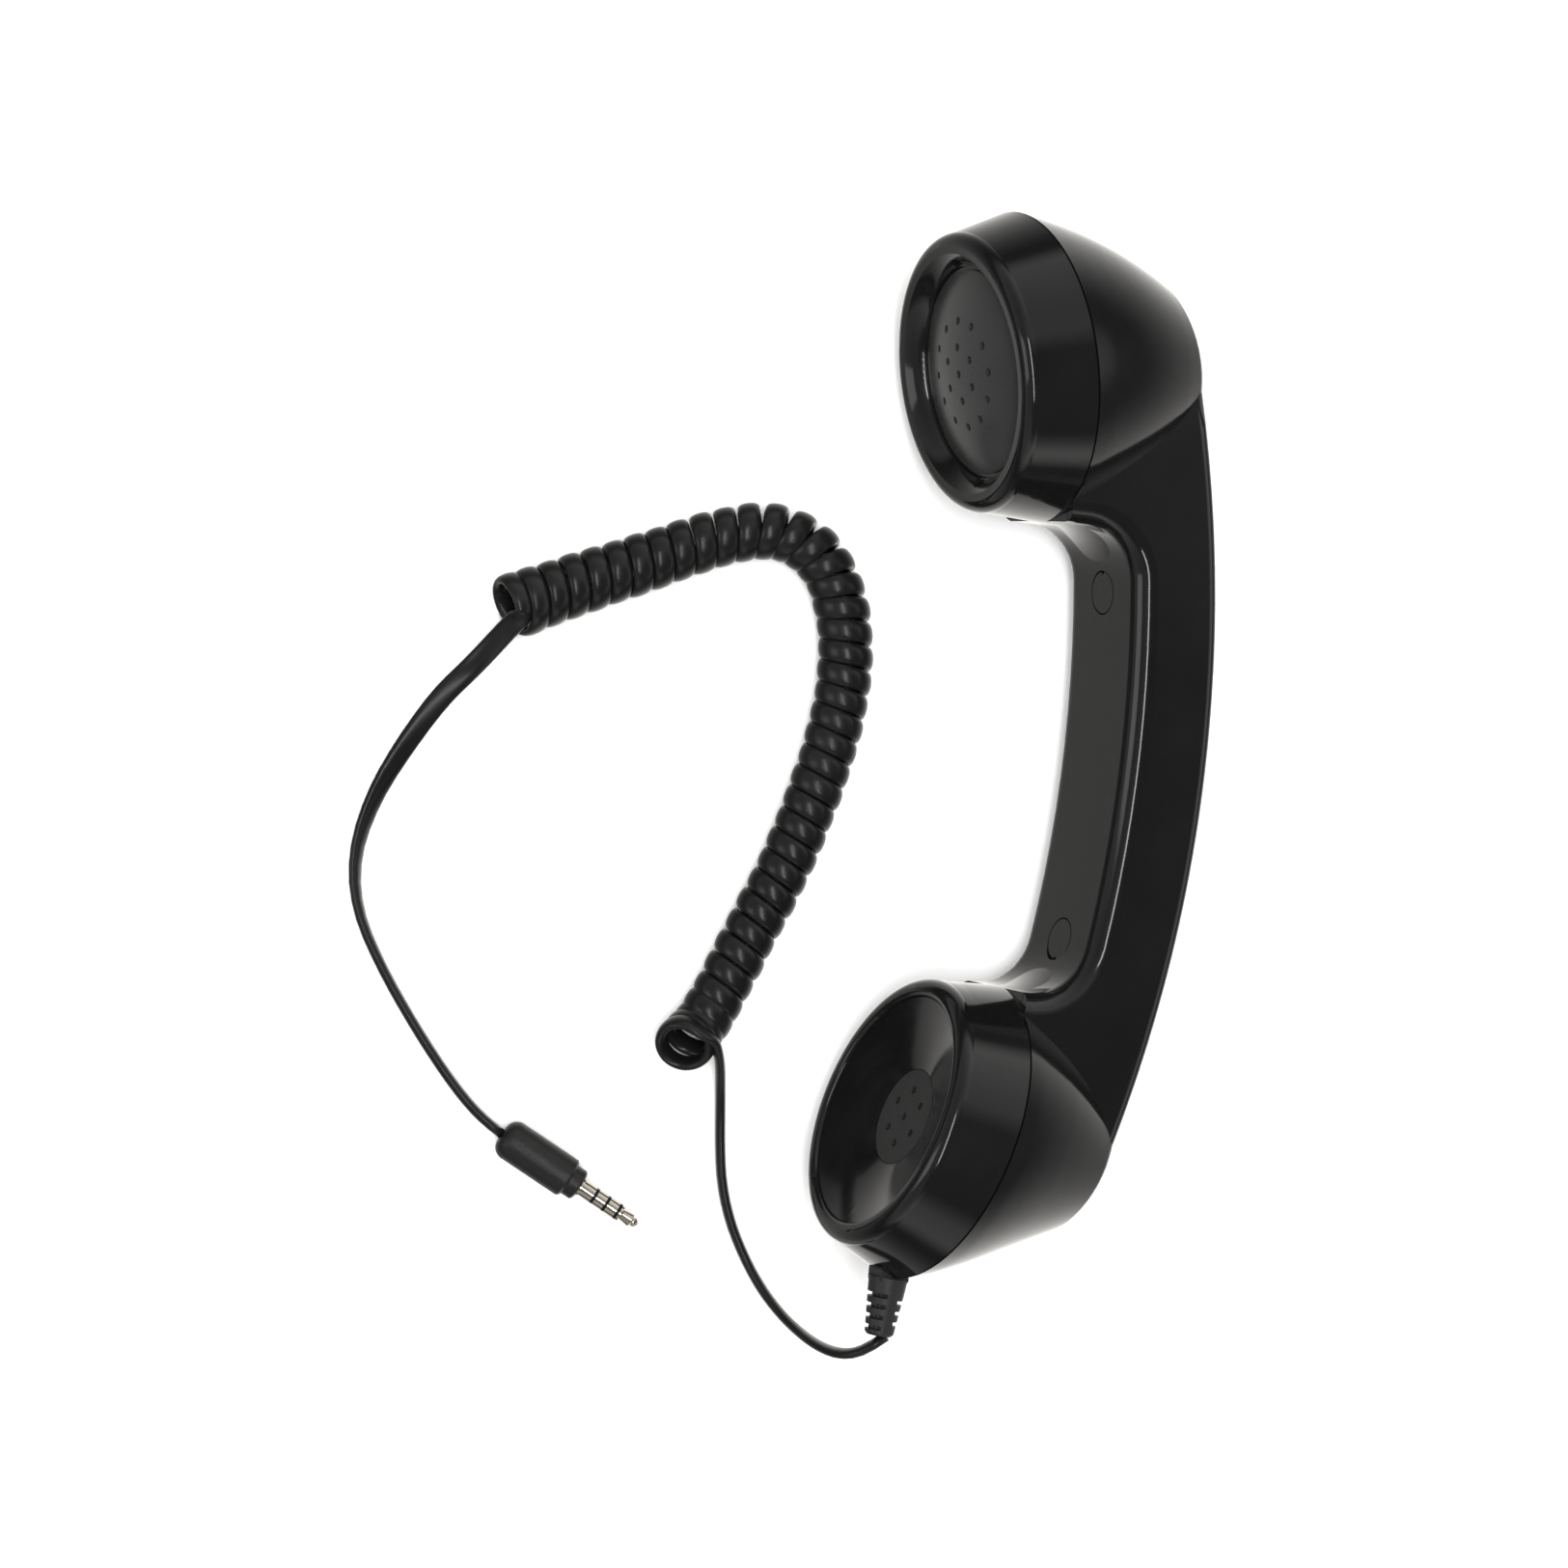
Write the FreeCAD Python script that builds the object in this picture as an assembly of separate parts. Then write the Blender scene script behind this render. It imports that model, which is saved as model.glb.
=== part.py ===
import FreeCAD, Part
import math
import os

from FreeCAD import Matrix, Placement, Vector

# Telephone handset for mobile phones: two round cups on a bowed handle, a curly cord and a
# four-pole 3.5 mm plug.  It lies on its side on a table, leaning on the edges of both cups and
# on the back of the handle.
#
# Handset frame, in which the handset is drawn: +X to its back, away from the ear and mouth,
# +Y towards the earpiece, +Z to its side.  The origin is midway between the two cup rims.
# Part frame: +Z up from the table, +Y along the handset, origin under the middle of the handset.
# All lengths are in millimetres and all angles in degrees.

# ---- cups ----
RIM_RADIUS = 28.4            # outside of a cap just behind its rounded rim
SEAM_RADIUS = 31.3           # outside of cap and body where they meet
SEAM_DEPTH = 14.5            # from the rim's crest back to the seam
SEAM_GAP = 0.4               # open groove between cap and body
EAR = {"rim_y": 74.5, "tilt": 13.2, "side": 1,
       "radii": (31.3, 27.6, 22.8, 16.6, 13.5), "lean": (0.0, -0.4, -1.2, -2.6, -3.2),
       "saddle_foot_y": 39.0}
MOUTH = {"rim_y": -74.2, "tilt": 16.3, "side": -1,
         "radii": (31.3, 26.8, 21.1, 14.8, 11.8), "lean": (0.0, -1.7, -3.7, -5.1, -5.9),
         "saddle_foot_y": -41.9}
BACK_DEPTHS = (0.2, 10.6, 21.2, 31.8, 36.5)      # of the cups' round sections behind the seam
CUP_EDGE_ROUND = 2.6         # rounding where a cup's side meets the back
CAP_WALL = 2.2
LIP_OUTER = 29.0             # ring on the body that the cap is pushed over
LIP_INNER = 27.2
LIP_FRONT = 10.6
HOLE_RADIUS = 0.8            # sound holes

# ---- handle ----
HALF_WIDTH = 15.5
GRIP_DEPTH = 39.9            # front of the grip at its deepest, behind the rims
GRIP_MIDDLE_Y = 4.0
GRIP_RADIUS = 270.0
CORNER_RADIUS = 12.0         # inside corner between grip and cup
EAR_CORNER_Y = 47.2
MOUTH_CORNER_Y = -48.0
BACK_X = 58.9                # back of the handle at its furthest
BACK_MIDDLE_Y = 3.0
BACK_RADIUS = 269.0
SHOULDER_ROUND = 4.2
BACK_EDGE_ROUND = 2.5
WALL = 2.3
PANEL_HALF_WIDTH = 12.35     # removable inside panel of the grip
PANEL_GAP = 0.25
PANEL_THICKNESS = 2.4

# ---- saddles between the caps and the grip ----
SADDLE_FRONT_DEPTH = 5.0     # where the saddle runs out on a cap's side, and the cap's radius there
SADDLE_FRONT_RADIUS = 29.26
SADDLE_FRONT_X = 11.0
SADDLE_PROUD = 0.5           # of the handle's own corner
SADDLE_BITE = 0.3            # into the cap's wall and the handle, so that nothing only touches
SADDLE_THICKNESS = 0.6       # at its front, and at its seam
SADDLE_SEAM_THICKNESS = 1.2
SADDLE_FALLS = (0.25, 0.6)   # shares of the shoulder's fall at the top and middle of the hollow
SADDLE_STATIONS = (0.0, 3.5, 7.0, 10.0, 11.8, 13.2, 14.2, 14.9, 15.3, 15.48)

# ---- caps and what they hold: (radius, depth) in the cup frame ----
CAP_BACK = SEAM_DEPTH - SEAM_GAP / 2
CAP_CLEARANCE = 0.1          # between a cap and the lip inside it
CAP_LEDGE = 10.2             # depth at which the cap's inside widens for the lip
CREST_RADIUS = 25.8
RIM_ROUND = 2.6
EAR_FLOOR = (4.2, 6.0)
EAR_OPENING = 16.5
PRY_RADIUS = 3.1             # two shallow notches in the ear bowl's slope
PRY_CIRCLE = 19.9
PRY_DEPTH = 3.4
GRILLE_RADIUS = 20.7
GRILLE_WALL = 2.5
GRILLE_THICKNESS = 1.2
DOME_RADIUS = 56.0
DOME_TOP = -0.2
MOUTH_FLOOR = (3.4, 5.0)
MOUTH_OPENING = 20.5
DISH_RADIUS = 10.2
DISH_DEPTH = 5.5
DISH_SEAT = 1.3              # thickness of the mouthpiece grille and depth of its seat
FUNNEL_RADIUS = 24.1
FUNNEL_BACK = 12.5
BOOT_RADIUS = 7.1
BOOT_BACK = 12.0
MICROPHONE_RADIUS = 4.9
MICROPHONE_FRONT = DISH_DEPTH + 1.9
MICROPHONE_LENGTH = 5.0
MICROPHONE_BACK = 13.0

# ---- speaker and its fixings, in the ear cup's frame ----
GASKET = (6.0, 7.2)
SPEAKER_RADIUS = 18.6
RETAINER_FRONT = 8.4
RETAINER_BACK = 9.6
MAGNET_RADIUS = 6.0
TOP_PLATE_RADIUS = 6.4
YOKE_INNER = 7.6
YOKE_OUTER = 9.0
MOTOR_DEPTHS = (12.8, 14.0, 17.2, 18.4)          # plate, magnet, yoke's floor and the yoke's back
SPEAKER_SCREW_CIRCLE = 22.0
SPEAKER_SCREW_RADIUS = 1.25

# ---- junction board behind the microphone, in the mouth cup's frame ----
BOARD_DEPTH = 23.0
BOARD_THICKNESS = 1.4
BOARD_LENGTH = 26.0
BOARD_WIDTH = 17.0
BOARD_OUT = -2.0             # middle of the board, away from the cup's axis
BOARD_SCREW_PITCH = 17.0
BOARD_SCREW_RADIUS = 1.1
BOARD_SCREW_LENGTH = 6.0
BOARD_POST_RADIUS = 2.8

# ---- weight in the handle ----
WEIGHT_LENGTH = 46.0
WEIGHT_WIDTH = 15.0
WEIGHT_THICKNESS = 6.0
WEIGHT_ROUND = 2.0
WEIGHT_X = 48.6              # front face of the bar
WEIGHT_MIDDLE_Y = -1.0
WEIGHT_SCREW_PITCH = 32.0
WEIGHT_POST_RADIUS = 3.4

# ---- screws of the grip and their covers ----
SCREW_YS = (34.4, -37.3)
COVER_RADIUS = 4.25
COVER_THICKNESS = 1.6
COVER_GAP = 0.3
COVER_STEM = (3.35, 2.55, 1.1)                   # outer and inner radius, length
COVER_NOTCH = (0.9, 1.0, 0.8)
BOSS_RADIUS = 6.0
BOSS_FLOOR_DEPTH = 6.4       # underside of the panel's boss, below the grip face
BOSS_FLOOR = 1.8
SCREW_HEAD_RADIUS = 2.7
SCREW_HEAD_HEIGHT = 1.8
SCREW_RADIUS = 1.5
SCREW_LENGTH = 8.0
SCREW_SLOT = (0.6, 2.4, 0.8)                     # width, length and depth of the cross
SCREW_PLAY = 0.15
POST_RADIUS = 4.0            # posts on the body that the screws bite into

# ---- strain relief ----
RELIEF_X = 5.6               # where its middle crosses the wall of the mouth cup
RELIEF_Y = -106.0
RELIEF_NECK_WIDE = 5.6
RELIEF_NECK_DEEP = 6.4
RELIEF_START_Y = -108.5      # the part that stands out of the cup
RELIEF_END_Y = -120.4
RELIEF_START_RADIUS = 4.0
RELIEF_END_RADIUS = 3.0
RELIEF_CORE_RADIUS = 1.7
RELIEF_DRIFT = -0.07         # it leans towards the rims by this much of its length
RELIEF_BLOCK = 3.2           # plain part at the root
RELIEF_SLOT = 0.95
RELIEF_PITCH = 2.2
RELIEF_SLOTS = 4
RELIEF_SPINE = 1.2           # half the width of the two solid ribs
RELIEF_FLANGE_Y = -102.8     # flange behind the wall of the cup
RELIEF_FLANGE = 2.4
RELIEF_FLANGE_REACH = 1.2

# ---- cord and plug ----
CORD_TUBE = 3.2              # round tube of about the same section as the flat cord
COIL_OUTER = 11.6
WIRE = 1.0                   # wires inside, and the cord's stripped end
TAIL = 2.4
PLUG_BODY_RADIUS = 4.3
PLUG_SHAFT_RADIUS = 1.75
PLUG_REAR = (-98.9, -83.9, 4.35)
PLUG_AIM = -28.3             # direction it points in, in degrees from +X
PLUG_BODY_LENGTH = 16.9
PLUG_COLLAR_RADIUS = 3.4
PLUG_COLLAR_LENGTH = 2.6
PLUG_FLANGE_RADIUS = 2.05
PLUG_FLANGE_LENGTH = 0.5
PLUG_CORE_RADIUS = 0.9
BAND = 0.65                  # black rings between the contacts
BAND_STARTS = (2.9, 5.8, 8.7)
PLUG_NECK_AT = 9.9
PLUG_NECK_RADIUS = 1.15
PLUG_TIP_AT = 12.4           # where the tip is widest, and how wide it is there
PLUG_TIP_RADIUS = 1.45
PLUG_NOSE_RADIUS = 1.0
PLUG_SHAFT_LENGTH = 14.0

# ---- free cord on the table, in the part frame ----
LEAD_FROM_HANDSET = [
    (-21.9, -117.8, 31.9), (-25.9, -119.6, 28.4), (-30.2, -119.4, 22.3), (-34.4, -117.5, 15.0),
    (-38.3, -114.6, 9.0), (-42.2, -110.4, 5.0), (-46.0, -104.7, 2.8), (-49.6, -97.8, 1.9),
    (-52.2, -89.8, 1.8), (-53.6, -81.2, 1.9), (-54.2, -72.8, 2.4), (-54.9, -66.1, 3.8),
    (-55.9, -60.9, 6.2), (-57.4, -56.6, 7.8),
]
COIL_AXIS = [
    (-63.0, -61.5, 8.6), (-60.2, -56.0, 6.6), (-56.8, -48.8, 5.85), (-51.9, -36.7, 5.85),
    (-46.4, -23.5, 5.85), (-42.2, -9.0, 5.85), (-39.0, 5.0, 5.85), (-37.7, 18.6, 5.85),
    (-39.4, 31.6, 5.85), (-44.7, 42.2, 5.85), (-54.6, 47.2, 5.85), (-66.8, 44.2, 5.85),
    (-81.5, 37.1, 5.85), (-96.0, 30.8, 5.85), (-110.8, 24.2, 5.85),
]
LEAD_TO_PLUG = [
    (-107.0, 24.0, 6.6), (-109.6, 19.3, 3.9), (-114.5, 13.4, 2.0), (-120.9, 4.9, 1.7),
    (-127.4, -6.2, 1.7), (-132.7, -17.6, 1.7), (-135.3, -29.5, 1.7), (-133.6, -40.6, 1.7),
    (-127.8, -51.2, 1.7), (-121.2, -60.8, 1.7), (-114.2, -69.9, 1.8), (-107.6, -77.4, 2.6),
    (-102.3, -81.9, 3.9),
]
COIL_SEAT = 0.05             # the coil's solid clears the table by this much


def cup_placement(cup):
    """Frame of a cup: origin at its rim's centre, Z backwards, X away from the handle."""
    angle = math.radians(cup["tilt"])
    side = cup["side"]
    back = Vector(math.cos(angle), side * math.sin(angle), 0)
    out = Vector(-math.sin(angle), side * math.cos(angle), 0)
    across = back.cross(out)
    matrix = Matrix(out.x, across.x, back.x, 0,
                    out.y, across.y, back.y, cup["rim_y"],
                    out.z, across.z, back.z, 0,
                    0, 0, 0, 1)
    return Placement(matrix)


def moved(shape, placement):
    result = shape.copy()
    result.Placement = placement.multiply(result.Placement)
    return result


def solid_of(shape):
    """The largest solid that a boolean leaves, without its compound wrapper."""
    return max(shape.Solids, key=lambda piece: piece.Volume)


def joined(shapes):
    whole = shapes[0]
    for shape in shapes[1:]:
        whole = solid_of(whole.fuse(shape))
    return whole


def without(shape, tools):
    for tool in tools:
        shape = solid_of(shape.cut(tool))
    return shape


def outline_face(start, steps, flat):
    """A closed face: each step is a point, or a (middle, end) pair for an arc."""
    edges = []
    here = start
    for step in steps:
        if isinstance(step[0], tuple):
            middle, there = step
            edges.append(Part.Arc(flat(here), flat(middle), flat(there)).toShape())
        else:
            there = step
            edges.append(Part.LineSegment(flat(here), flat(there)).toShape())
        here = there
    if here != start:
        edges.append(Part.LineSegment(flat(here), flat(start)).toShape())
    return Part.Face(Part.Wire(edges))


def turned(start, steps):
    """Solid of revolution about Z from an outline of (radius, depth) points."""
    face = outline_face(start, steps, lambda p: Vector(p[0], 0, p[1]))
    return face.revolve(Vector(0, 0, 0), Vector(0, 0, 1), 360)


def disc(radius, low, high):
    return Part.makeCylinder(radius, high - low, Vector(0, 0, low), Vector(0, 0, 1))


def washer(outer, inner, low, high):
    return disc(outer, low, high).cut(disc(inner, low - 1, high + 1))


def ring_of_holes(count, circle, low, high):
    """Cutters for sound holes, evenly spaced round a circle."""
    holes = []
    for index in range(count):
        angle = 2 * math.pi * index / count
        place = Vector(circle * math.cos(angle), circle * math.sin(angle), low)
        holes.append(Part.makeCylinder(HOLE_RADIUS, high - low, place, Vector(0, 0, 1)))
    return holes


# ---- routes: straight runs joined by tangent arcs ----

def route_wire(points, name):
    corners = [Vector(*p) for p in points]
    edges = []
    radii = []
    here = corners[0]
    for before, corner, after in zip(corners, corners[1:], corners[2:]):
        back = before.sub(corner)
        ahead = after.sub(corner)
        turn = math.pi - back.getAngle(ahead)
        reach = 0.45 * min(back.Length, ahead.Length)
        radii.append(reach / math.tan(turn / 2))
        back.normalize()
        ahead.normalize()
        first = corner.add(back * reach)
        last = corner.add(ahead * reach)
        inward = back.add(ahead)
        inward.normalize()
        centre = corner.add(inward * (reach / math.cos(turn / 2) / math.tan(turn / 2)))
        towards = corner.sub(centre)
        towards.normalize()
        edges.append(Part.LineSegment(here, first).toShape())
        edges.append(Part.Arc(first, centre.add(towards * radii[-1]), last).toShape())
        here = last
    edges.append(Part.LineSegment(here, corners[-1]).toShape())
    wire = Part.Wire(edges)
    if radii:
        print(name, "length", round(wire.Length, 1), "radii", [round(r, 1) for r in radii])
    return wire


def tube(points, diameter, name):
    wire = route_wire(points, name)
    start = Vector(*points[0])
    ahead = Vector(*points[1]).sub(start)
    section = Part.Wire(Part.makeCircle(diameter / 2, start, ahead))
    solid = wire.makePipeShell([section], True, False)
    ideal = wire.Length * math.pi * diameter ** 2 / 4
    print(name, "volume / (section x length) =", round(solid.Volume / ideal, 4))
    return solid


# ---- outlines of the handle in the XY plane ----

def grip_outline(offset):
    """Front of the grip from the ear cup to the mouth cup, moved back into the body by offset."""
    centre_x = GRIP_DEPTH - GRIP_RADIUS
    grip = GRIP_RADIUS + offset
    corner = CORNER_RADIUS + offset
    reach = grip - corner

    def corner_points(corner_y, side):
        corner_centre_y = corner_y - side * CORNER_RADIUS
        rise = corner_centre_y - GRIP_MIDDLE_Y
        corner_centre_x = centre_x + math.sqrt(reach ** 2 - rise ** 2)
        angle = math.atan2(rise, corner_centre_x - centre_x)
        tangent = (centre_x + grip * math.cos(angle), GRIP_MIDDLE_Y + grip * math.sin(angle))
        top = (corner_centre_x, corner_centre_y + side * corner)
        half = (angle + side * math.pi / 2) / 2
        middle = (corner_centre_x + corner * math.cos(half),
                  corner_centre_y + corner * math.sin(half))
        return top, middle, tangent

    ear_top, ear_middle, ear_tangent = corner_points(EAR_CORNER_Y, 1)
    mouth_top, mouth_middle, mouth_tangent = corner_points(MOUTH_CORNER_Y, -1)
    deepest = (centre_x + grip, GRIP_MIDDLE_Y)
    return ear_top, [(ear_middle, ear_tangent), (deepest, mouth_tangent), (mouth_middle, mouth_top)]


def seam_x(cup, y, depth):
    """X of the plane across a cup at the given depth, at height y."""
    angle = math.radians(cup["tilt"])
    return (depth - (y - cup["rim_y"]) * cup["side"] * math.sin(angle)) / math.cos(angle)


def back_arc_x(y, offset):
    radius = BACK_RADIUS - offset
    return BACK_X - BACK_RADIUS + math.sqrt(radius ** 2 - (y - BACK_MIDDLE_Y) ** 2)


def flat_xy(z):
    return lambda p: Vector(p[0], p[1], z)


def handle_slab(offset, half_width, front_offset):
    """Handle between the cups; offset moves its back inwards and front_offset its front."""
    top, bends = grip_outline(front_offset)
    bottom = bends[-1][1]
    seam = SEAM_DEPTH + SEAM_GAP / 2
    ear_side = (seam_x(EAR, top[1], seam), top[1])
    mouth_side = (seam_x(MOUTH, bottom[1], seam), bottom[1])
    ear_inside = cup_point(EAR, -4.5, seam)
    mouth_inside = cup_point(MOUTH, -4.5, seam)
    ear_back = (back_arc_x(86.0, offset), 86.0)
    mouth_back = (back_arc_x(-86.0, offset), -86.0)
    back_top = (back_arc_x(BACK_MIDDLE_Y, offset), BACK_MIDDLE_Y)
    steps = [top] + bends + [mouth_side, mouth_inside, mouth_back, (back_top, ear_back), ear_inside]
    face = outline_face(ear_side, steps, flat_xy(-half_width))
    return face.extrude(Vector(0, 0, 2 * half_width))


def cup_point(cup, out, depth):
    """(x, y) in the handset frame of a point in a cup's middle plane."""
    place = cup_placement(cup).multVec(Vector(out, 0, depth))
    return place.x, place.y


def grip_band(near, far, half_width):
    """Strip that follows the grip between two offsets, for the panel and its window."""
    seam = SEAM_DEPTH + SEAM_GAP / 2
    near_top, near_bends = grip_outline(near)
    far_top, far_bends = grip_outline(far)
    near_bottom = near_bends[-1][1]
    far_bottom = far_bends[-1][1]
    ear_near = (seam_x(EAR, near_top[1], seam), near_top[1])
    ear_far = (seam_x(EAR, far_top[1], seam), far_top[1])
    mouth_near = (seam_x(MOUTH, near_bottom[1], seam), near_bottom[1])
    mouth_far = (seam_x(MOUTH, far_bottom[1], seam), far_bottom[1])
    backwards = [(far_bends[2][0], far_bends[1][1]), (far_bends[1][0], far_bends[0][1]),
                 (far_bends[0][0], far_top)]
    steps = [near_top] + near_bends + [mouth_near, mouth_far, far_bottom] + backwards + [ear_far]
    face = outline_face(ear_near, steps, flat_xy(-half_width))
    return face.extrude(Vector(0, 0, 2 * half_width))


def back_region(offset):
    """Everything in front of the bowed back surface."""
    centre = Vector(BACK_X - BACK_RADIUS, BACK_MIDDLE_Y, -50)
    return Part.makeCylinder(BACK_RADIUS - offset, 100, centre, Vector(0, 0, 1))


def cup_back(cup, wall):
    """Cone-like back of a cup: sections that shrink and lean towards the handle."""
    wires = []
    for depth, radius, lean in zip(BACK_DEPTHS, cup["radii"], cup["lean"]):
        centre = Vector(lean, 0, SEAM_DEPTH + depth)
        wires.append(Part.Wire(Part.makeCircle(radius - wall, centre, Vector(0, 0, 1))))
    loft = Part.makeLoft(wires, True, False)
    return moved(loft, cup_placement(cup))


def rounded_cup_back(cup):
    """Back of a cup, trimmed by the bowed back, with a rounded edge round that face."""
    trimmed = solid_of(cup_back(cup, 0).common(back_region(0)))
    rim = [e for e in trimmed.Edges if on_back_surface(e)]
    return solid_of(trimmed.makeFillet(CUP_EDGE_ROUND, rim))


def on_back_surface(edge):
    centre = Vector(BACK_X - BACK_RADIUS, BACK_MIDDLE_Y, 0)
    for place in edge.discretize(5):
        flat = Vector(place.x, place.y, 0)
        if abs(flat.distanceToPoint(centre) - BACK_RADIUS) > 0.02:
            return False
    return True


def rounded_slab():
    slab = handle_slab(0, HALF_WIDTH, 0)
    top, bends = grip_outline(0)
    seam = SEAM_DEPTH + SEAM_GAP / 2
    front_spots = [((seam_x(EAR, top[1], seam) + top[0]) / 2, top[1])]
    front_spots += [middle for middle, _ in bends]
    bottom = bends[-1][1]
    front_spots.append(((seam_x(MOUTH, bottom[1], seam) + bottom[0]) / 2, bottom[1]))
    shoulders = edges_through(slab, front_spots)
    slab = solid_of(slab.makeFillet(SHOULDER_ROUND, shoulders))
    back_spot = (BACK_X, BACK_MIDDLE_Y)
    return solid_of(slab.makeFillet(BACK_EDGE_ROUND, edges_through(slab, [back_spot])))


def edges_through(shape, spots):
    """Edges on either side face that pass through one of the (x, y) spots."""
    found = []
    for edge in shape.Edges:
        for x, y in spots:
            for z in (-HALF_WIDTH, HALF_WIDTH):
                if edge.distToShape(Part.Vertex(x, y, z))[0] < 0.01:
                    if not is_upright(edge):
                        found.append(edge)
    return found


def is_upright(edge):
    heights = [place.z for place in edge.discretize(3)]
    return max(heights) - min(heights) > 1.0


# ---- body ----

def grip_normal_placement(y):
    """Frame on the grip face at height y: origin on the face, Z pointing into the handle."""
    centre_x = GRIP_DEPTH - GRIP_RADIUS
    angle = math.asin((y - GRIP_MIDDLE_Y) / GRIP_RADIUS)
    place = Vector(centre_x + GRIP_RADIUS * math.cos(angle), y, 0)
    inward = Vector(math.cos(angle), math.sin(angle), 0)
    along = Vector(-math.sin(angle), math.cos(angle), 0)
    across = inward.cross(along)
    matrix = Matrix(along.x, across.x, inward.x, place.x,
                    along.y, across.y, inward.y, place.y,
                    along.z, across.z, inward.z, place.z,
                    0, 0, 0, 1)
    return Placement(matrix)


def cup_interior(cup):
    inside = solid_of(cup_back(cup, WALL).common(back_region(WALL)))
    neck = disc(LIP_INNER, LIP_FRONT - 1, SEAM_DEPTH + 3)
    return [inside, moved(neck, cup_placement(cup))]


def relief_notch(extra):
    """Slot across the seam of the mouth cup for the strain relief's neck."""
    height = RELIEF_NECK_DEEP + 2 * extra
    width = RELIEF_NECK_WIDE + 2 * extra
    corner = Vector(RELIEF_X - height / 2, RELIEF_Y - 4, -width / 2)
    return Part.makeBox(height, 14, width, corner)


def make_panel():
    slab = rounded_slab()
    panel = solid_of(slab.common(grip_band(-1.0, PANEL_THICKNESS, PANEL_HALF_WIDTH)))
    for y in SCREW_YS:
        place = grip_normal_placement(y)
        head_seat = BOSS_FLOOR_DEPTH - BOSS_FLOOR
        boss = moved(disc(BOSS_RADIUS, 1.0, BOSS_FLOOR_DEPTH), place)
        well = moved(disc(COVER_RADIUS + COVER_GAP, -3, head_seat), place)
        shank = moved(disc(SCREW_RADIUS + SCREW_PLAY, 0, 10), place)
        panel = without(joined([panel, boss]), [well, shank])
    return panel


def make_body():
    body = joined([rounded_slab(), rounded_cup_back(EAR), rounded_cup_back(MOUTH)])
    window = grip_band(-1.5, PANEL_THICKNESS + 0.3, PANEL_HALF_WIDTH + PANEL_GAP)
    body = without(body, [window])
    lips = [moved(washer(LIP_OUTER, LIP_INNER, LIP_FRONT, SEAM_DEPTH + 2), cup_placement(cup))
            for cup in (EAR, MOUTH)]
    body = joined([body] + lips)
    hollow = handle_slab(WALL, HALF_WIDTH - WALL, PANEL_THICKNESS + 0.2)
    body = without(body, [hollow] + cup_interior(EAR) + cup_interior(MOUTH))
    for y in SCREW_YS:
        place = grip_normal_placement(y)
        post = moved(disc(POST_RADIUS, BOSS_FLOOR_DEPTH, 40), place)
        post = solid_of(post.common(back_region(WALL / 2)))
        pilot_top = BOSS_FLOOR_DEPTH - BOSS_FLOOR
        pilot = moved(disc(SCREW_RADIUS, pilot_top, pilot_top + SCREW_LENGTH + 0.6), place)
        body = without(joined([body, post]), [pilot])
    for post in weight_posts() + board_posts():
        body = joined([body, post])
    weight_pilot = disc(SCREW_RADIUS, 0, SCREW_LENGTH + 0.4)
    board_pilot = disc(BOARD_SCREW_RADIUS, 0, BOARD_SCREW_LENGTH + 0.4)
    pilots = [moved(weight_pilot, place) for place in weight_screw_places()]
    for place in board_screw_places(BOARD_DEPTH):
        pilots.append(moved(moved(board_pilot, place), cup_placement(MOUTH)))
    return without(body, pilots + [relief_notch(0.1)])


# ---- covers, screws and weight in the handle ----

def make_screw_cover(y, notch_side):
    """Round plug over a grip screw, flush with the grip, with a small pry notch at its edge."""
    cover = disc(COVER_RADIUS, 0.0, COVER_THICKNESS)
    outer, inner, length = COVER_STEM
    stem = washer(outer, inner, COVER_THICKNESS, COVER_THICKNESS + length)
    wide, high, deep = COVER_NOTCH
    notch = Part.makeBox(wide, high, deep, Vector(notch_side * COVER_RADIUS - wide / 2, -high / 2, -0.1))
    cover = without(joined([cover, stem]), [notch])
    return moved(cover, grip_normal_placement(y))


def pan_head_screw(head_radius, head_height, radius, length):
    """Screw along Z: the head's underside at Z = 0, its shank towards +Z, cross slot in the head."""
    head = disc(head_radius, -head_height, 0)
    head = head.makeFillet(0.4 * head_height, [head.Edges[2]])
    shank = disc(radius, 0, length)
    slots = []
    narrow, long, deep = SCREW_SLOT
    for wide, high in ((narrow, long), (long, narrow)):
        slots.append(Part.makeBox(wide, high, deep, Vector(-wide / 2, -high / 2, -head_height)))
    return without(joined([solid_of(head), shank]), slots)


def make_grip_screws():
    screws = []
    seat = BOSS_FLOOR_DEPTH - BOSS_FLOOR
    for y in SCREW_YS:
        screw = pan_head_screw(SCREW_HEAD_RADIUS, SCREW_HEAD_HEIGHT, SCREW_RADIUS, SCREW_LENGTH)
        place = grip_normal_placement(y).multiply(Placement(Vector(0, 0, seat), FreeCAD.Rotation()))
        screws.append(moved(screw, place))
    return Part.makeCompound(screws)


def weight_screw_places():
    turn = FreeCAD.Rotation(Vector(0, 1, 0), 90)
    for side in (-1, 1):
        y = WEIGHT_MIDDLE_Y + side * WEIGHT_SCREW_PITCH / 2
        yield Placement(Vector(WEIGHT_X, y, 0), turn)


def make_weight():
    corner = Vector(WEIGHT_X, WEIGHT_MIDDLE_Y - WEIGHT_LENGTH / 2, -WEIGHT_WIDTH / 2)
    bar = Part.makeBox(WEIGHT_THICKNESS, WEIGHT_LENGTH, WEIGHT_WIDTH, corner)
    upright = [e for e in bar.Edges if abs(e.tangentAt(e.FirstParameter).x) > 0.9]
    bar = solid_of(bar.makeFillet(WEIGHT_ROUND, upright))
    shank = disc(SCREW_RADIUS + SCREW_PLAY, -1, WEIGHT_THICKNESS + 1)
    return without(bar, [moved(shank, place) for place in weight_screw_places()])


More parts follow.
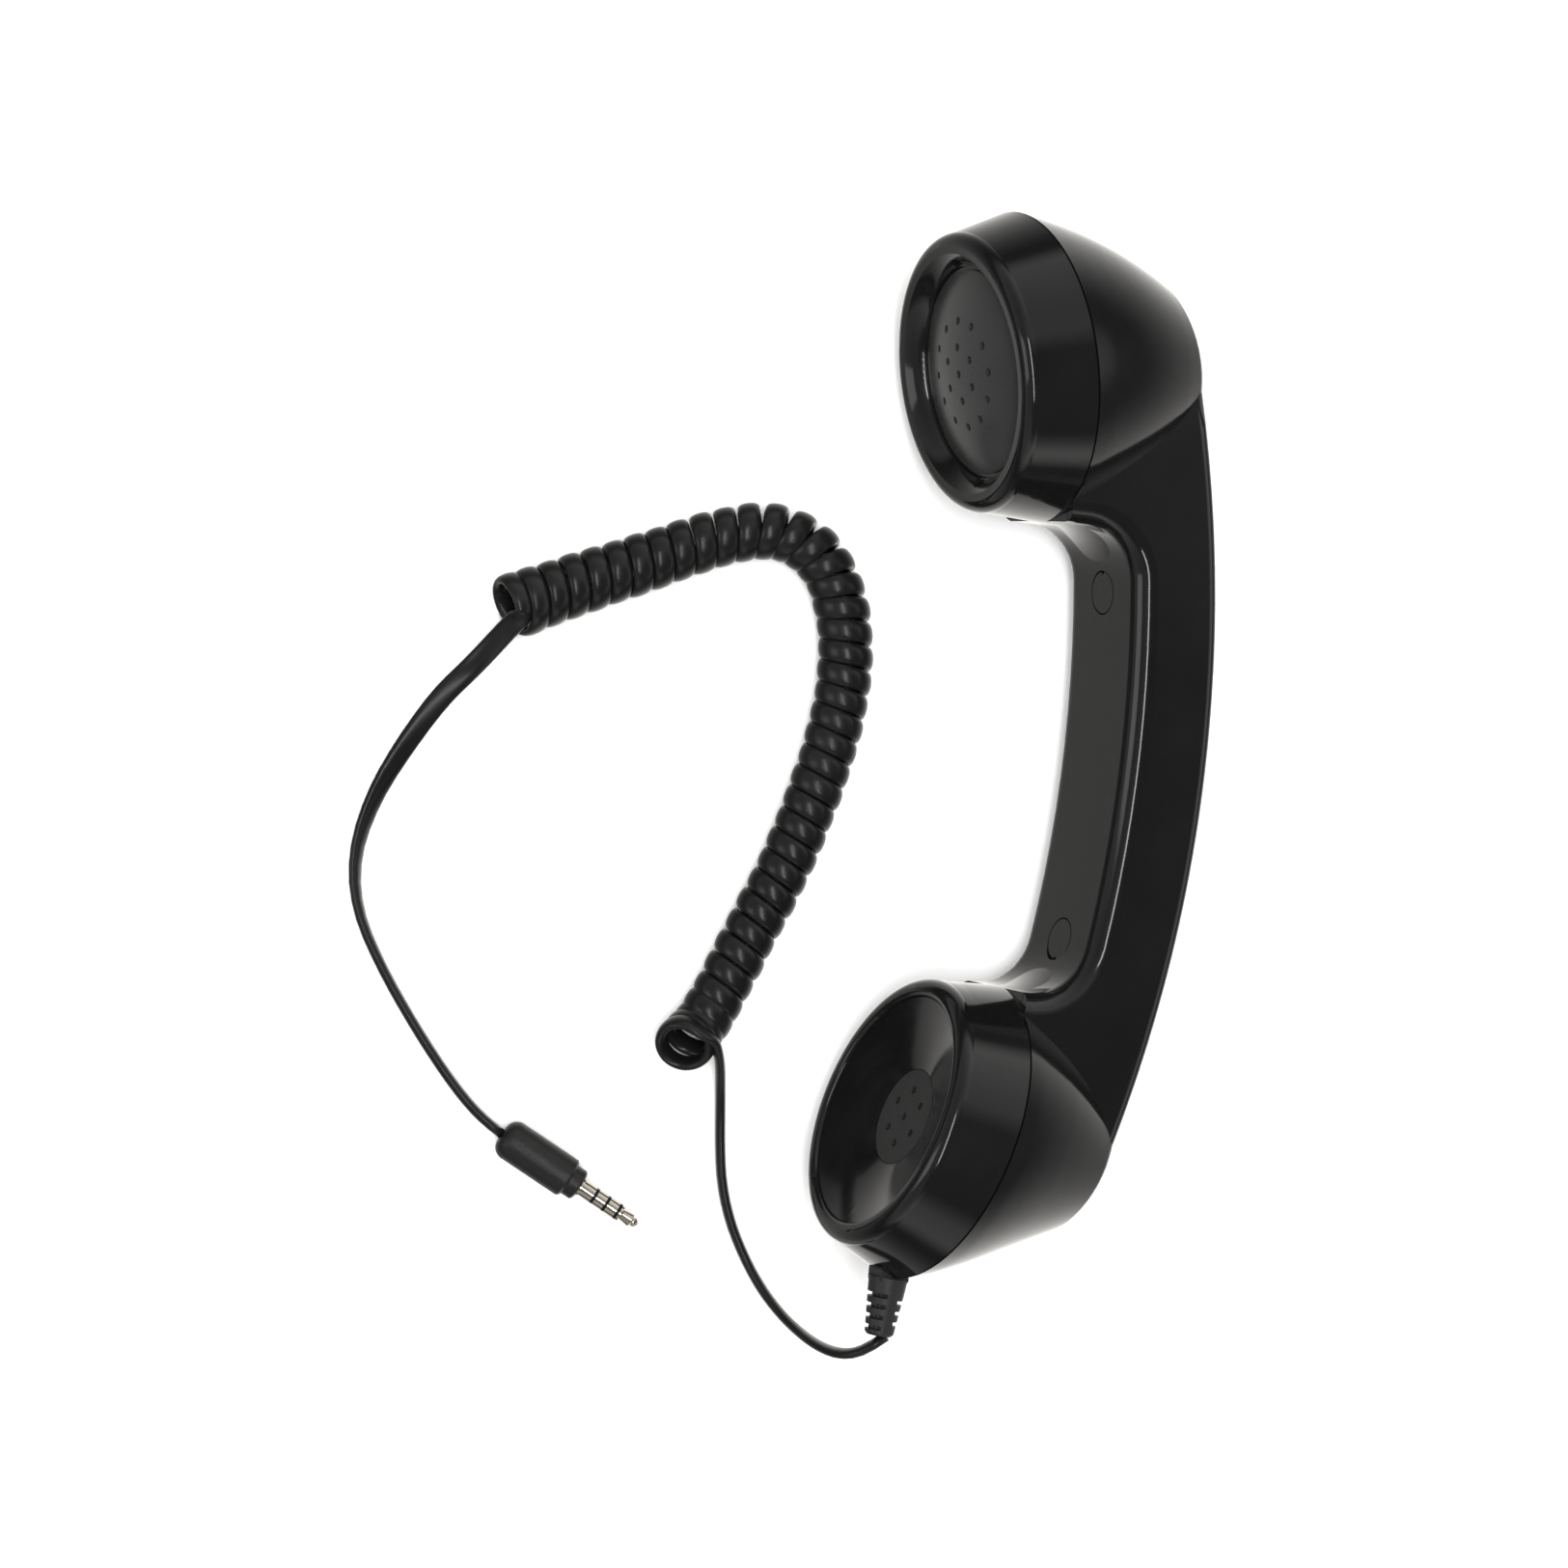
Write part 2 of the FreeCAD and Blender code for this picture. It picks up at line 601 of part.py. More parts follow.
def make_weight_screws():
    screw = pan_head_screw(SCREW_HEAD_RADIUS, SCREW_HEAD_HEIGHT, SCREW_RADIUS, SCREW_LENGTH)
    return Part.makeCompound([moved(screw, place) for place in weight_screw_places()])


def weight_posts():
    """Low posts on the inside of the back that carry the weight."""
    posts = []
    for place in weight_screw_places():
        post = moved(disc(WEIGHT_POST_RADIUS, WEIGHT_THICKNESS, 30), place)
        posts.append(solid_of(post.common(back_region(WALL / 2))))
    return posts


# ---- saddles: the hollow sweep from each cap's side down to the grip, one piece with the cap ----

def saddle_edge(z):
    """How far the rounded shoulder falls back at the given distance from the middle plane."""
    past = max(abs(z) - (HALF_WIDTH - SHOULDER_ROUND), 0.0)
    return SHOULDER_ROUND - math.sqrt(max(SHOULDER_ROUND ** 2 - past ** 2, 0.0))


def cap_side_y(cup, z, depth, radius):
    """Height of a cap's side nearest to the grip, in the plane at z."""
    angle = math.radians(cup["tilt"])
    side = cup["side"]
    inwards = math.sqrt(radius ** 2 - z ** 2) * math.cos(angle)
    return cup["rim_y"] + side * (depth * math.sin(angle) - inwards)


def saddle_section(cup, z):
    """Closed outline at z: a run along the cap's side, the hollow corner and the way back inside."""
    side = cup["side"]
    front_y = cap_side_y(cup, z, SADDLE_FRONT_DEPTH, SADDLE_FRONT_RADIUS)
    seam_y = cap_side_y(cup, z, SEAM_DEPTH, SEAM_RADIUS)
    top_y = seam_y - side * SADDLE_PROUD
    centre_y = top_y - side * CORNER_RADIUS
    reach = GRIP_RADIUS - CORNER_RADIUS
    grip_x = GRIP_DEPTH - GRIP_RADIUS
    centre_x = grip_x + math.sqrt(reach ** 2 - (centre_y - GRIP_MIDDLE_Y) ** 2) - SADDLE_PROUD
    fall = saddle_edge(z)
    foot_angle = math.degrees(math.asin(side * (cup["saddle_foot_y"] - centre_y) / CORNER_RADIUS))

    def on_corner(degrees, inwards):
        angle = math.radians(degrees)
        size = CORNER_RADIUS + inwards
        return Vector(centre_x + size * math.cos(angle), centre_y + side * size * math.sin(angle), z)

    top_fall, middle_fall = SADDLE_FALLS
    top = on_corner(90, top_fall * fall)
    middle = on_corner((90 + foot_angle) / 2, middle_fall * fall)
    foot = on_corner(foot_angle, fall + SADDLE_PROUD + SADDLE_BITE)
    start = Vector(SADDLE_FRONT_X, front_y + side * SADDLE_BITE, z)
    deep = Vector(foot.x + 1.0, foot.y, z)
    inner = Vector(deep.x, top.y + side * SADDLE_SEAM_THICKNESS, z)
    end = Vector(start.x, start.y + side * SADDLE_THICKNESS, z)
    edges = [Part.LineSegment(start, top).toShape(), Part.Arc(top, middle, foot).toShape()]
    corners = [foot, deep, inner, end, start]
    edges += [Part.LineSegment(a, b).toShape() for a, b in zip(corners, corners[1:])]
    return Part.Wire(edges)


def with_saddle(cap, cup):
    """The cap with its saddle, which is cut to lie on the handle and on the back of the cup."""
    stations = [-z for z in reversed(SADDLE_STATIONS[1:])] + list(SADDLE_STATIONS)
    saddle = solid_of(Part.makeLoft([saddle_section(cup, z) for z in stations], True, False))
    saddle = without(saddle, [rounded_slab(), rounded_cup_back(cup)])
    return joined([moved(cap, cup_placement(cup)), saddle])


# ---- caps, drawn in the cup frame with outlines of (radius, depth) points ----

def cap_shell(inner_steps):
    """Flared wall with a rounded rim; inner_steps run from the crest down the inside."""
    start = (SEAM_RADIUS - 0.03, CAP_BACK)
    bend = RIM_ROUND * math.sqrt(0.5)
    rim_centre = (CREST_RADIUS, RIM_ROUND)
    rim_middle = (rim_centre[0] + bend, rim_centre[1] - bend)
    steps = [(CREST_RADIUS + RIM_ROUND, RIM_ROUND), (rim_middle, (CREST_RADIUS, 0.0))]
    steps += inner_steps
    bore = LIP_OUTER + CAP_CLEARANCE
    steps += [(LIP_OUTER - CAP_WALL / 2, CAP_LEDGE), (bore, CAP_LEDGE), (bore, CAP_BACK)]
    return turned(start, steps)


def speaker_screw_places(depth):
    for index in range(3):
        angle = math.radians(90 + 120 * index)
        place = Vector(math.cos(angle), math.sin(angle), 0).multiply(SPEAKER_SCREW_CIRCLE)
        yield Placement(place.add(Vector(0, 0, depth)), FreeCAD.Rotation())


def make_earpiece_cap():
    low, high = EAR_FLOOR
    cap = cap_shell([(24.2, 0.15), ((22.7, 1.4), (21.5, 3.3)), (21.2, low),
                     (EAR_OPENING, low), (EAR_OPENING, high), (27.0, high)])
    for place in speaker_screw_places(0):
        cap = joined([cap, moved(disc(2.6, high - 0.5, RETAINER_FRONT), place)])
        cap = without(cap, [moved(disc(SPEAKER_SCREW_RADIUS, high - 1.2, RETAINER_FRONT + 1), place)])
    for side in (-1, 1):
        notch = disc(PRY_RADIUS, -1.0, PRY_DEPTH)
        cap = without(cap, [moved(notch, Placement(Vector(side * PRY_CIRCLE, 0, 0), FreeCAD.Rotation()))])
    return cap


def dome_depth(radius):
    return DOME_TOP + DOME_RADIUS - math.sqrt(DOME_RADIUS ** 2 - radius ** 2)


def make_earpiece_grille():
    """Convex disc with one, six and twelve sound holes, on a foot that stands on the cap's floor."""
    foot = EAR_FLOOR[0]
    outer = GRILLE_RADIUS
    inner = GRILLE_RADIUS - GRILLE_WALL
    under = GRILLE_THICKNESS
    grille = turned((0, DOME_TOP), [((outer / 2, dome_depth(outer / 2)), (outer, dome_depth(outer))),
                                    (outer, foot), (inner, foot), (inner, dome_depth(inner) + under),
                                    ((inner / 2, dome_depth(inner / 2) + under),
                                     (0, DOME_TOP + under))])
    middle = disc(HOLE_RADIUS, -1, 8)
    return without(grille, [middle] + ring_of_holes(6, 5.4, -1, 8) + ring_of_holes(12, 10.7, -1, 8))


def make_mouthpiece_cap():
    low, high = MOUTH_FLOOR
    return cap_shell([(25.2, 0.03), ((24.55, 0.3), (24.3, 0.95)), (24.3, low),
                      (MOUTH_OPENING, low), (MOUTH_OPENING, high), (27.0, high)])


def make_mouthpiece_funnel():
    """Shallow cone that lines the mouth cup, with a seat for the grille and a collar behind."""
    seat = DISH_DEPTH + DISH_SEAT
    collar = BOOT_RADIUS + 1.3
    pilot = MOUTH_OPENING - 0.2
    floor = MOUTH_FLOOR[0]
    return turned((FUNNEL_RADIUS, 1.0),
                  [(DISH_RADIUS, DISH_DEPTH), (DISH_RADIUS, seat), (BOOT_RADIUS, seat),
                   (BOOT_RADIUS, FUNNEL_BACK), (collar, FUNNEL_BACK), (collar, 8.2),
                   (pilot, floor + 1.3), (pilot, floor), (FUNNEL_RADIUS, floor)])


def make_mouthpiece_grille():
    grille = disc(DISH_RADIUS - 0.15, DISH_DEPTH, DISH_DEPTH + DISH_SEAT)
    return without(grille, [disc(HOLE_RADIUS, 0, 10)] + ring_of_holes(6, 5.7, 0, 10))


def make_microphone_boot():
    front = DISH_DEPTH + DISH_SEAT
    inside = MICROPHONE_FRONT
    bore = MICROPHONE_RADIUS
    return turned((bore - 1.5, front), [(BOOT_RADIUS, front), (BOOT_RADIUS, BOOT_BACK), (bore, BOOT_BACK),
                                        (bore, inside), (bore - 1.5, inside)])


def make_microphone():
    front = MICROPHONE_FRONT
    back = front + MICROPHONE_LENGTH
    can = without(disc(MICROPHONE_RADIUS, front, back), [disc(HOLE_RADIUS, front - 1, front + 0.6)])
    return joined([can, disc(MICROPHONE_RADIUS - 0.9, back, MICROPHONE_BACK)])


# ---- speaker, drawn in the ear cup's frame ----

def make_speaker_gasket():
    return washer(SPEAKER_RADIUS, SPEAKER_RADIUS - 3.4, GASKET[0], GASKET[1])


def make_speaker_frame():
    """Basket: a flange, a conical web with four windows and a hub round the yoke."""
    front = GASKET[1]
    hub = YOKE_OUTER + 0.02
    frame = turned((15.0, front), [(SPEAKER_RADIUS, front), (SPEAKER_RADIUS, RETAINER_FRONT),
                                   (17.0, RETAINER_FRONT), (10.4, 13.6), (10.4, 17.0), (hub, 17.0),
                                   (hub, 13.0), (15.0, 9.3)])
    for index in range(4):
        turn = FreeCAD.Rotation(Vector(0, 0, 1), 45 + 90 * index)
        window = Part.makeBox(4.0, 7.0, 10.0, Vector(11.2, -3.5, 9.0))
        frame = without(frame, [moved(window, Placement(Vector(0, 0, 0), turn))])
    return frame


def make_speaker_yoke():
    _, _, floor, back = MOTOR_DEPTHS
    return turned((0, floor), [(YOKE_INNER, floor), (YOKE_INNER, 13.0), (YOKE_OUTER, 13.0),
                               (YOKE_OUTER, back), (0, back)])


def make_speaker_retainer():
    ring = washer(24.8, 17.2, RETAINER_FRONT, RETAINER_BACK)
    for place in speaker_screw_places(0):
        ring = without(ring, [moved(disc(SPEAKER_SCREW_RADIUS + SCREW_PLAY, 0, 20), place)])
    return ring


def make_speaker_screws():
    turn = FreeCAD.Rotation(Vector(1, 0, 0), 180)
    screw = pan_head_screw(2.3, 1.5, SPEAKER_SCREW_RADIUS, 4.2)
    screw = moved(screw, Placement(Vector(0, 0, 0), turn))
    return Part.makeCompound([moved(screw, place) for place in speaker_screw_places(RETAINER_BACK)])


def make_diaphragm():
    """Paper cone with its rolled edge and centre dome in one thin piece."""
    return turned((0, 9.4), [(0.4, 9.4), ((3.8, 9.8), (7.0, 11.0)), (13.0, 8.4),
                             ((13.8, 7.7), (14.6, 8.2)), (14.6, 8.6), ((13.8, 8.1), (13.2, 8.8)),
                             (7.2, 11.4), (6.8, 11.4), ((3.7, 10.2), (0.4, 9.8)), (0, 9.8)])


# ---- junction board behind the microphone, drawn in the mouth cup's frame ----

def board_screw_places(depth):
    for side in (-1, 1):
        place = Vector(side * BOARD_SCREW_PITCH / 2 + BOARD_OUT, 0, depth)
        yield Placement(place, FreeCAD.Rotation())


def make_board():
    corner = Vector(BOARD_OUT - BOARD_LENGTH / 2, -BOARD_WIDTH / 2, BOARD_DEPTH)
    board = Part.makeBox(BOARD_LENGTH, BOARD_WIDTH, BOARD_THICKNESS, corner)
    shank = disc(BOARD_SCREW_RADIUS + SCREW_PLAY, -5, 5)
    return without(board, [moved(shank, place) for place in board_screw_places(BOARD_DEPTH)])


def make_board_screws():
    screw = pan_head_screw(2.1, 1.3, BOARD_SCREW_RADIUS, BOARD_SCREW_LENGTH)
    return Part.makeCompound([moved(screw, place) for place in board_screw_places(BOARD_DEPTH)])


def board_posts():
    posts = []
    for place in board_screw_places(BOARD_DEPTH + BOARD_THICKNESS):
        post = moved(moved(disc(BOARD_POST_RADIUS, 0, 40), place), cup_placement(MOUTH))
        posts.append(solid_of(post.common(back_region(WALL / 2))))
    return posts


# ---- strain relief at the foot of the mouth cup ----

def relief_slot(start, side):
    """Half-ring groove down to the core, on one side of the two ribs; along Z from the root."""
    reach = 2 * RELIEF_START_RADIUS
    block = Part.makeBox(reach, 2 * reach, RELIEF_SLOT, Vector(RELIEF_SPINE, -reach, start))
    groove = without(block, [disc(RELIEF_CORE_RADIUS, start - 1, start + RELIEF_SLOT + 1)])
    half_turn = FreeCAD.Rotation(Vector(0, 0, 1), 0 if side > 0 else 180)
    return moved(groove, Placement(Vector(0, 0, 0), half_turn))


def relief_placement():
    """Frame of the strain relief: origin at its root, Z along it, X away from the rims."""
    direction = Vector(RELIEF_DRIFT, -1, 0)
    direction.normalize()
    side = Vector(0, 0, 1).cross(direction)
    other = direction.cross(side)
    start = Vector(RELIEF_X, RELIEF_START_Y, 0)
    matrix = Matrix(side.x, other.x, direction.x, start.x,
                    side.y, other.y, direction.y, start.y,
                    side.z, other.z, direction.z, start.z,
                    0, 0, 0, 1)
    return Placement(matrix)


def relief_end():
    """Middle of the strain relief's end face, in the handset frame."""
    return relief_placement().multVec(Vector(0, 0, RELIEF_START_Y - RELIEF_END_Y))


def make_strain_relief():
    length = RELIEF_START_Y - RELIEF_END_Y
    sleeve = turned((0, 0), [(RELIEF_START_RADIUS, 0), (RELIEF_START_RADIUS - 0.25, RELIEF_BLOCK),
                             (RELIEF_END_RADIUS, length - 0.5), (RELIEF_END_RADIUS - 0.5, length),
                             (0, length)])
    slots = []
    for index in range(RELIEF_SLOTS):
        start = RELIEF_BLOCK + index * RELIEF_PITCH
        slots.append(relief_slot(start, -1))
        if index < RELIEF_SLOTS - 1:
            slots.append(relief_slot(start + RELIEF_PITCH / 2, 1))
    sleeve = moved(without(sleeve, slots), relief_placement())
    deep = RELIEF_NECK_DEEP
    wide = RELIEF_NECK_WIDE
    neck = Part.makeBox(deep, 7.0, wide, Vector(RELIEF_X - deep / 2, RELIEF_START_Y - 0.6, -wide / 2))
    reach = RELIEF_FLANGE_REACH
    corner = Vector(RELIEF_X - deep / 2 - reach, RELIEF_FLANGE_Y, -wide / 2 - reach)
    flange = Part.makeBox(deep + 2 * reach, RELIEF_FLANGE, wide + 2 * reach, corner)
    return joined([sleeve, neck, flange])


# ---- wires inside, as thin round tubes ----

def make_speaker_wires():
    """Two wires from the back of the speaker, along one side of the handle, to the board."""
    wires = []
    for index, side in enumerate((0.0, 1.5)):
        ends = [cup_point(EAR, -12.8, 13.6 + side), cup_point(EAR, -17.0, 19.5 + side)]
        on_board = BOARD_DEPTH + BOARD_THICKNESS + 0.6
        far = [cup_point(MOUTH, -17.0, 28.0 + side), cup_point(MOUTH, -13.8, on_board)]
        points = [(ends[0][0], ends[0][1], 3.0 + side), (ends[1][0], ends[1][1], 6.5 + side)]
        points += [(46.0 + side, 47.0, 9.6), (49.5 + side, 33.0, 9.9), (51.0 + side, 12.0, 10.2)]
        points += [(51.0 + side, -12.0, 10.1), (49.5 + side, -34.0, 9.8), (46.0 + side, -48.0, 9.2)]
        points += [(far[0][0], far[0][1], 6.5 + side), (far[1][0], far[1][1], 3.0 + 2 * side)]
        wires.append(tube(points, WIRE, "speaker wire " + str(index + 1)))
    return Part.makeCompound(wires)


def make_microphone_wires():
    """Two short wires from the microphone's back to the board, in the mouth cup's frame."""
    wires = []
    for side in (-1, 1):
        points = [(1.0, 1.2 * side, MICROPHONE_BACK + 0.05), (1.4, 1.9 * side, 16.0),
                  (0.0, 2.9 * side, 19.5), (0.4, 3.2 * side, BOARD_DEPTH - 0.05)]
        wires.append(tube(points, WIRE, "microphone wire"))
    return Part.makeCompound(wires)


def make_cord_tail():
    """Stripped end of the cord between the strain relief and the board."""
    end = cup_point(MOUTH, 7.0, BOARD_DEPTH - 0.9)
    points = [(RELIEF_X, RELIEF_FLANGE_Y + RELIEF_FLANGE + 0.02, 0), (RELIEF_X + 1.5, -96.2, 1.2),
              (RELIEF_X + 5.5, -93.0, 3.4), (end[0], end[1], 5.2)]
    return tube(points, TAIL, "cord tail")


# ---- plug and free cord ----

def plug_placement():
    turn = FreeCAD.Rotation(Vector(0, 0, 1), PLUG_AIM).multiply(FreeCAD.Rotation(Vector(0, 1, 0), 90))
    return Placement(Vector(*PLUG_REAR), turn)


def shaft_start():
    return PLUG_BODY_LENGTH + PLUG_COLLAR_LENGTH + PLUG_FLANGE_LENGTH


def make_plug_body():
    """Soft overmould with a rounded rear; the cord enters at its middle."""
    radius = PLUG_BODY_RADIUS
    return turned((0, 0), [(1.8, 0), ((3.55, 0.85), (radius, 3.0)), (radius, PLUG_BODY_LENGTH - 0.5),
                           (radius - 0.5, PLUG_BODY_LENGTH), (0, PLUG_BODY_LENGTH)])


def make_plug_collar():
    start = PLUG_BODY_LENGTH
    end = start + PLUG_COLLAR_LENGTH
    radius = PLUG_COLLAR_RADIUS
    return turned((0, start), [(radius, start), (radius, end - 0.4), (radius - 0.4, end), (0, end)])


def make_contact(start, end, flange=0.0):
    """Hollow contact of the shaft between two depths; the sleeve also has the flange."""
    base = shaft_start()
    body = washer(PLUG_SHAFT_RADIUS, PLUG_CORE_RADIUS, base + start - flange, base + end)
    if flange:
        body = joined([body, washer(PLUG_FLANGE_RADIUS, PLUG_CORE_RADIUS, base - flange, base)])
    return body


def make_plug_tip():
    """Pin through the whole plug with the neck and the rounded tip at its end."""
    base = shaft_start()
    first = base + BAND_STARTS[-1] + BAND
    neck = base + PLUG_NECK_AT
    widest = base + PLUG_TIP_AT
    end = base + PLUG_SHAFT_LENGTH
    return turned((0, base - PLUG_FLANGE_LENGTH),
                  [(PLUG_CORE_RADIUS - 0.35, base - PLUG_FLANGE_LENGTH), (PLUG_CORE_RADIUS - 0.35, first),
                   (PLUG_SHAFT_RADIUS, first), (PLUG_SHAFT_RADIUS, neck), (PLUG_NECK_RADIUS, neck + 0.3),
                   (PLUG_TIP_RADIUS, widest), (PLUG_NOSE_RADIUS, widest + 0.4),
                   ((PLUG_NOSE_RADIUS - 0.15, end - 0.45), (0.3, end)), (0, end)])


def make_plug_insulators():
    """Black rings between the contacts, on one tube round the pin."""
    base = shaft_start()
    inner = PLUG_CORE_RADIUS - 0.35
    pieces = [washer(PLUG_CORE_RADIUS, inner, base - PLUG_FLANGE_LENGTH, base + BAND_STARTS[-1] + BAND)]
    for start in BAND_STARTS:
        pieces.append(washer(PLUG_SHAFT_RADIUS, PLUG_CORE_RADIUS - 0.1, base + start, base + start + BAND))
    return joined(pieces)


def plug_pieces():
    first, second, third = BAND_STARTS
    pieces = {
        "plug_body": make_plug_body(),
        "plug_collar": make_plug_collar(),
        "plug_sleeve": make_contact(0, first, PLUG_FLANGE_LENGTH),
        "plug_ring_inner": make_contact(first + BAND, second),
        "plug_ring_outer": make_contact(second + BAND, third),
        "plug_tip": make_plug_tip(),
        "plug_insulators": make_plug_insulators(),
    }
    return {name: moved(shape, plug_placement()) for name, shape in pieces.items()}


def cord_pieces(exit_point):
    first = [(exit_point.x, exit_point.y, exit_point.z)] + LEAD_FROM_HANDSET
    last = LEAD_TO_PLUG + [PLUG_REAR]
    return {
        "cord_lead_handset": tube(first, CORD_TUBE, "cord lead at the handset"),
        "cord_coil": tube([(x, y, z + COIL_SEAT) for x, y, z in COIL_AXIS], COIL_OUTER, "cord coil"),
        "cord_lead_plug": tube(last, CORD_TUBE, "cord lead at the plug"),
    }


def handset_pieces():
    """Every piece of the handset in the handset frame."""
    ear = cup_placement(EAR)
    mouth = cup_placement(MOUTH)
    in_ear = {
        "earpiece_grille": make_earpiece_grille(),
        "speaker_gasket": make_speaker_gasket(),
        "speaker_frame": make_speaker_frame(),
        "speaker_yoke": make_speaker_yoke(),
        "speaker_magnet": disc(MAGNET_RADIUS, MOTOR_DEPTHS[1], MOTOR_DEPTHS[2]),
        "speaker_top_plate": disc(TOP_PLATE_RADIUS, MOTOR_DEPTHS[0], MOTOR_DEPTHS[1]),
        "speaker_diaphragm": make_diaphragm(),
        "voice_coil": washer(7.15, 6.8, 11.4, 15.5),
        "speaker_retainer": make_speaker_retainer(),
        "speaker_screws": make_speaker_screws(),
    }
    in_mouth = {
        "mouthpiece_funnel": make_mouthpiece_funnel(),
        "mouthpiece_grille": make_mouthpiece_grille(),
        "microphone_boot": make_microphone_boot(),
        "microphone_capsule": make_microphone(),
        "junction_board": make_board(),
        "board_screws": make_board_screws(),
        "microphone_wires": make_microphone_wires(),
    }
    pieces = {
        "back_shell": make_body(),
        "grip_panel": make_panel(),
        "screw_cover_upper": make_screw_cover(SCREW_YS[0], 1),
        "screw_cover_lower": make_screw_cover(SCREW_YS[1], -1),
        "grip_screws": make_grip_screws(),
        "handle_weight": make_weight(),
        "weight_screws": make_weight_screws(),
        "earpiece_cap": with_saddle(make_earpiece_cap(), EAR),
        "mouthpiece_cap": without(with_saddle(make_mouthpiece_cap(), MOUTH), [relief_notch(0.1)]),
    }
    pieces["strain_relief"] = make_strain_relief()
    pieces["cord_tail"] = make_cord_tail()
    pieces["speaker_wires"] = make_speaker_wires()
    for name, shape in in_ear.items():
        pieces[name] = moved(shape, ear)
    for name, shape in in_mouth.items():
        pieces[name] = moved(shape, mouth)
    return pieces


# ---- how the handset lies: on the back of its handle and the edges of both cups ----

def rest_tilt():
    """Lean about the long axis, in degrees, at which the handle's back and the cups touch the table."""
    lean = math.cos(math.radians((EAR["tilt"] + MOUTH["tilt"]) / 2))
    low, high = 0.0, math.radians(45)
    while high - low > 1e-7:
        angle = (low + high) / 2
        back = math.sin(angle) * (BACK_X - BACK_EDGE_ROUND)
        back += math.cos(angle) * (HALF_WIDTH - BACK_EDGE_ROUND) + BACK_EDGE_ROUND
        slope = math.sin(angle) * lean
        cup = slope * SEAM_DEPTH + SEAM_RADIUS * math.sqrt(1 - slope ** 2)
        if back > cup:
            high = angle
        else:
            low = angle
    return math.degrees(low)


def rest_placement(shapes):
    """Placement that stands the shapes on Z = 0 with the origin under the middle of their box."""
    tilt = Placement(Vector(0, 0, 0), FreeCAD.Rotation(Vector(0, 1, 0), rest_tilt()))
    box = FreeCAD.BoundBox()
    for shape in shapes:
        box.add(moved(shape, tilt).optimalBoundingBox())
    return Placement(Vector(-box.Center.x, -box.Center.y, -box.ZMin), tilt.Rotation)


if __name__ == "__main__":
    os.makedirs("parts", exist_ok=True)
    pieces = handset_pieces()
    rest = rest_placement(pieces.values())
    print("rest tilt", round(rest_tilt(), 3), "handset frame's origin at", rest.Base)
    pieces = {name: moved(shape, rest) for name, shape in pieces.items()}
    pieces.update(cord_pieces(rest.multVec(relief_end())))
    pieces.update(plug_pieces())
    for name, shape in pieces.items():
        print(name, shape.isValid(), round(shape.Volume, 1), len(shape.Solids))
        shape.exportStep("parts/" + name + ".step")
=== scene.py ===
import math

import bmesh
import bpy
from mathutils import Matrix, Vector


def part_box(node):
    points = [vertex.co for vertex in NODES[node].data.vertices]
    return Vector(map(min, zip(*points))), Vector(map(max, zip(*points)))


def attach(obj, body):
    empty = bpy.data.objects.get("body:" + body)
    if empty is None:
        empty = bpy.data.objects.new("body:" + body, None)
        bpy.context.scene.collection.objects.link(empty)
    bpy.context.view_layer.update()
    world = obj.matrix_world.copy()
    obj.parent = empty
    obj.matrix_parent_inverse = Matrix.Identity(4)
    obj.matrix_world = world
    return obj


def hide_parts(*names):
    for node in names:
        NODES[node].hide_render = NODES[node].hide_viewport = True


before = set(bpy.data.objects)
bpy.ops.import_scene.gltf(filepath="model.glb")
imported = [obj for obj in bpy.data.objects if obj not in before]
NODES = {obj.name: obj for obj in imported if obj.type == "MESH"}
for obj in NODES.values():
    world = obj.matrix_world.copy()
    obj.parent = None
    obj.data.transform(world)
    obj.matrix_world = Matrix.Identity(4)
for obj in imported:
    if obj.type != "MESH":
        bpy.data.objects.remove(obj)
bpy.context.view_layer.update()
bpy.context.scene.view_settings.view_transform = "Standard"
MM = 0.001


def mm(points):
    return [Vector(p) * MM for p in points]


# ---- camera: almost straight above, leaning towards the side that the cups face ----

CAMERA_PLACE = Vector((-0.1268, 0.0084, 0.8952))
CAMERA_AIM = Vector((-0.0477, -0.0057, 0.0))
CAMERA_UP = Vector((-0.1032, 0.9944, -0.0248))
CAMERA_LENS = 98.6


SENSOR_WIDTH = 36


def make_camera():
    data = bpy.data.cameras.new("camera")
    data.lens = CAMERA_LENS
    data.sensor_width = SENSOR_WIDTH
    camera = bpy.data.objects.new("camera", data)
    bpy.context.scene.collection.objects.link(camera)
    back = (CAMERA_PLACE - CAMERA_AIM).normalized()
    right = CAMERA_UP.cross(back).normalized()
    up = back.cross(right)
    turn = Matrix((right, up, back)).transposed()
    camera.matrix_world = Matrix.Translation(CAMERA_PLACE) @ turn.to_4x4()
    bpy.context.scene.camera = camera


make_camera()


# ---- materials ----

def shader_of(material):
    """The material's node tree and its shader node."""
    material.use_nodes = True
    tree = material.node_tree
    shader = tree.nodes["Principled BSDF"]
    return tree, shader


PATCH_SCALE = 60.0              # slow patches of colour and gloss, per metre
PATCH_NOISE = (4.0, 0.55)       # detail and roughness of the noise
GRAIN_NOISE = (6.0, 0.6)
PATCH_RANGE = (0.3, 0.7)        # part of the noise that spans the range of gloss
MIX_FACTOR, MIX_FIRST, MIX_SECOND, MIX_COLOUR = 0, 6, 7, 2      # sockets of a colour mix


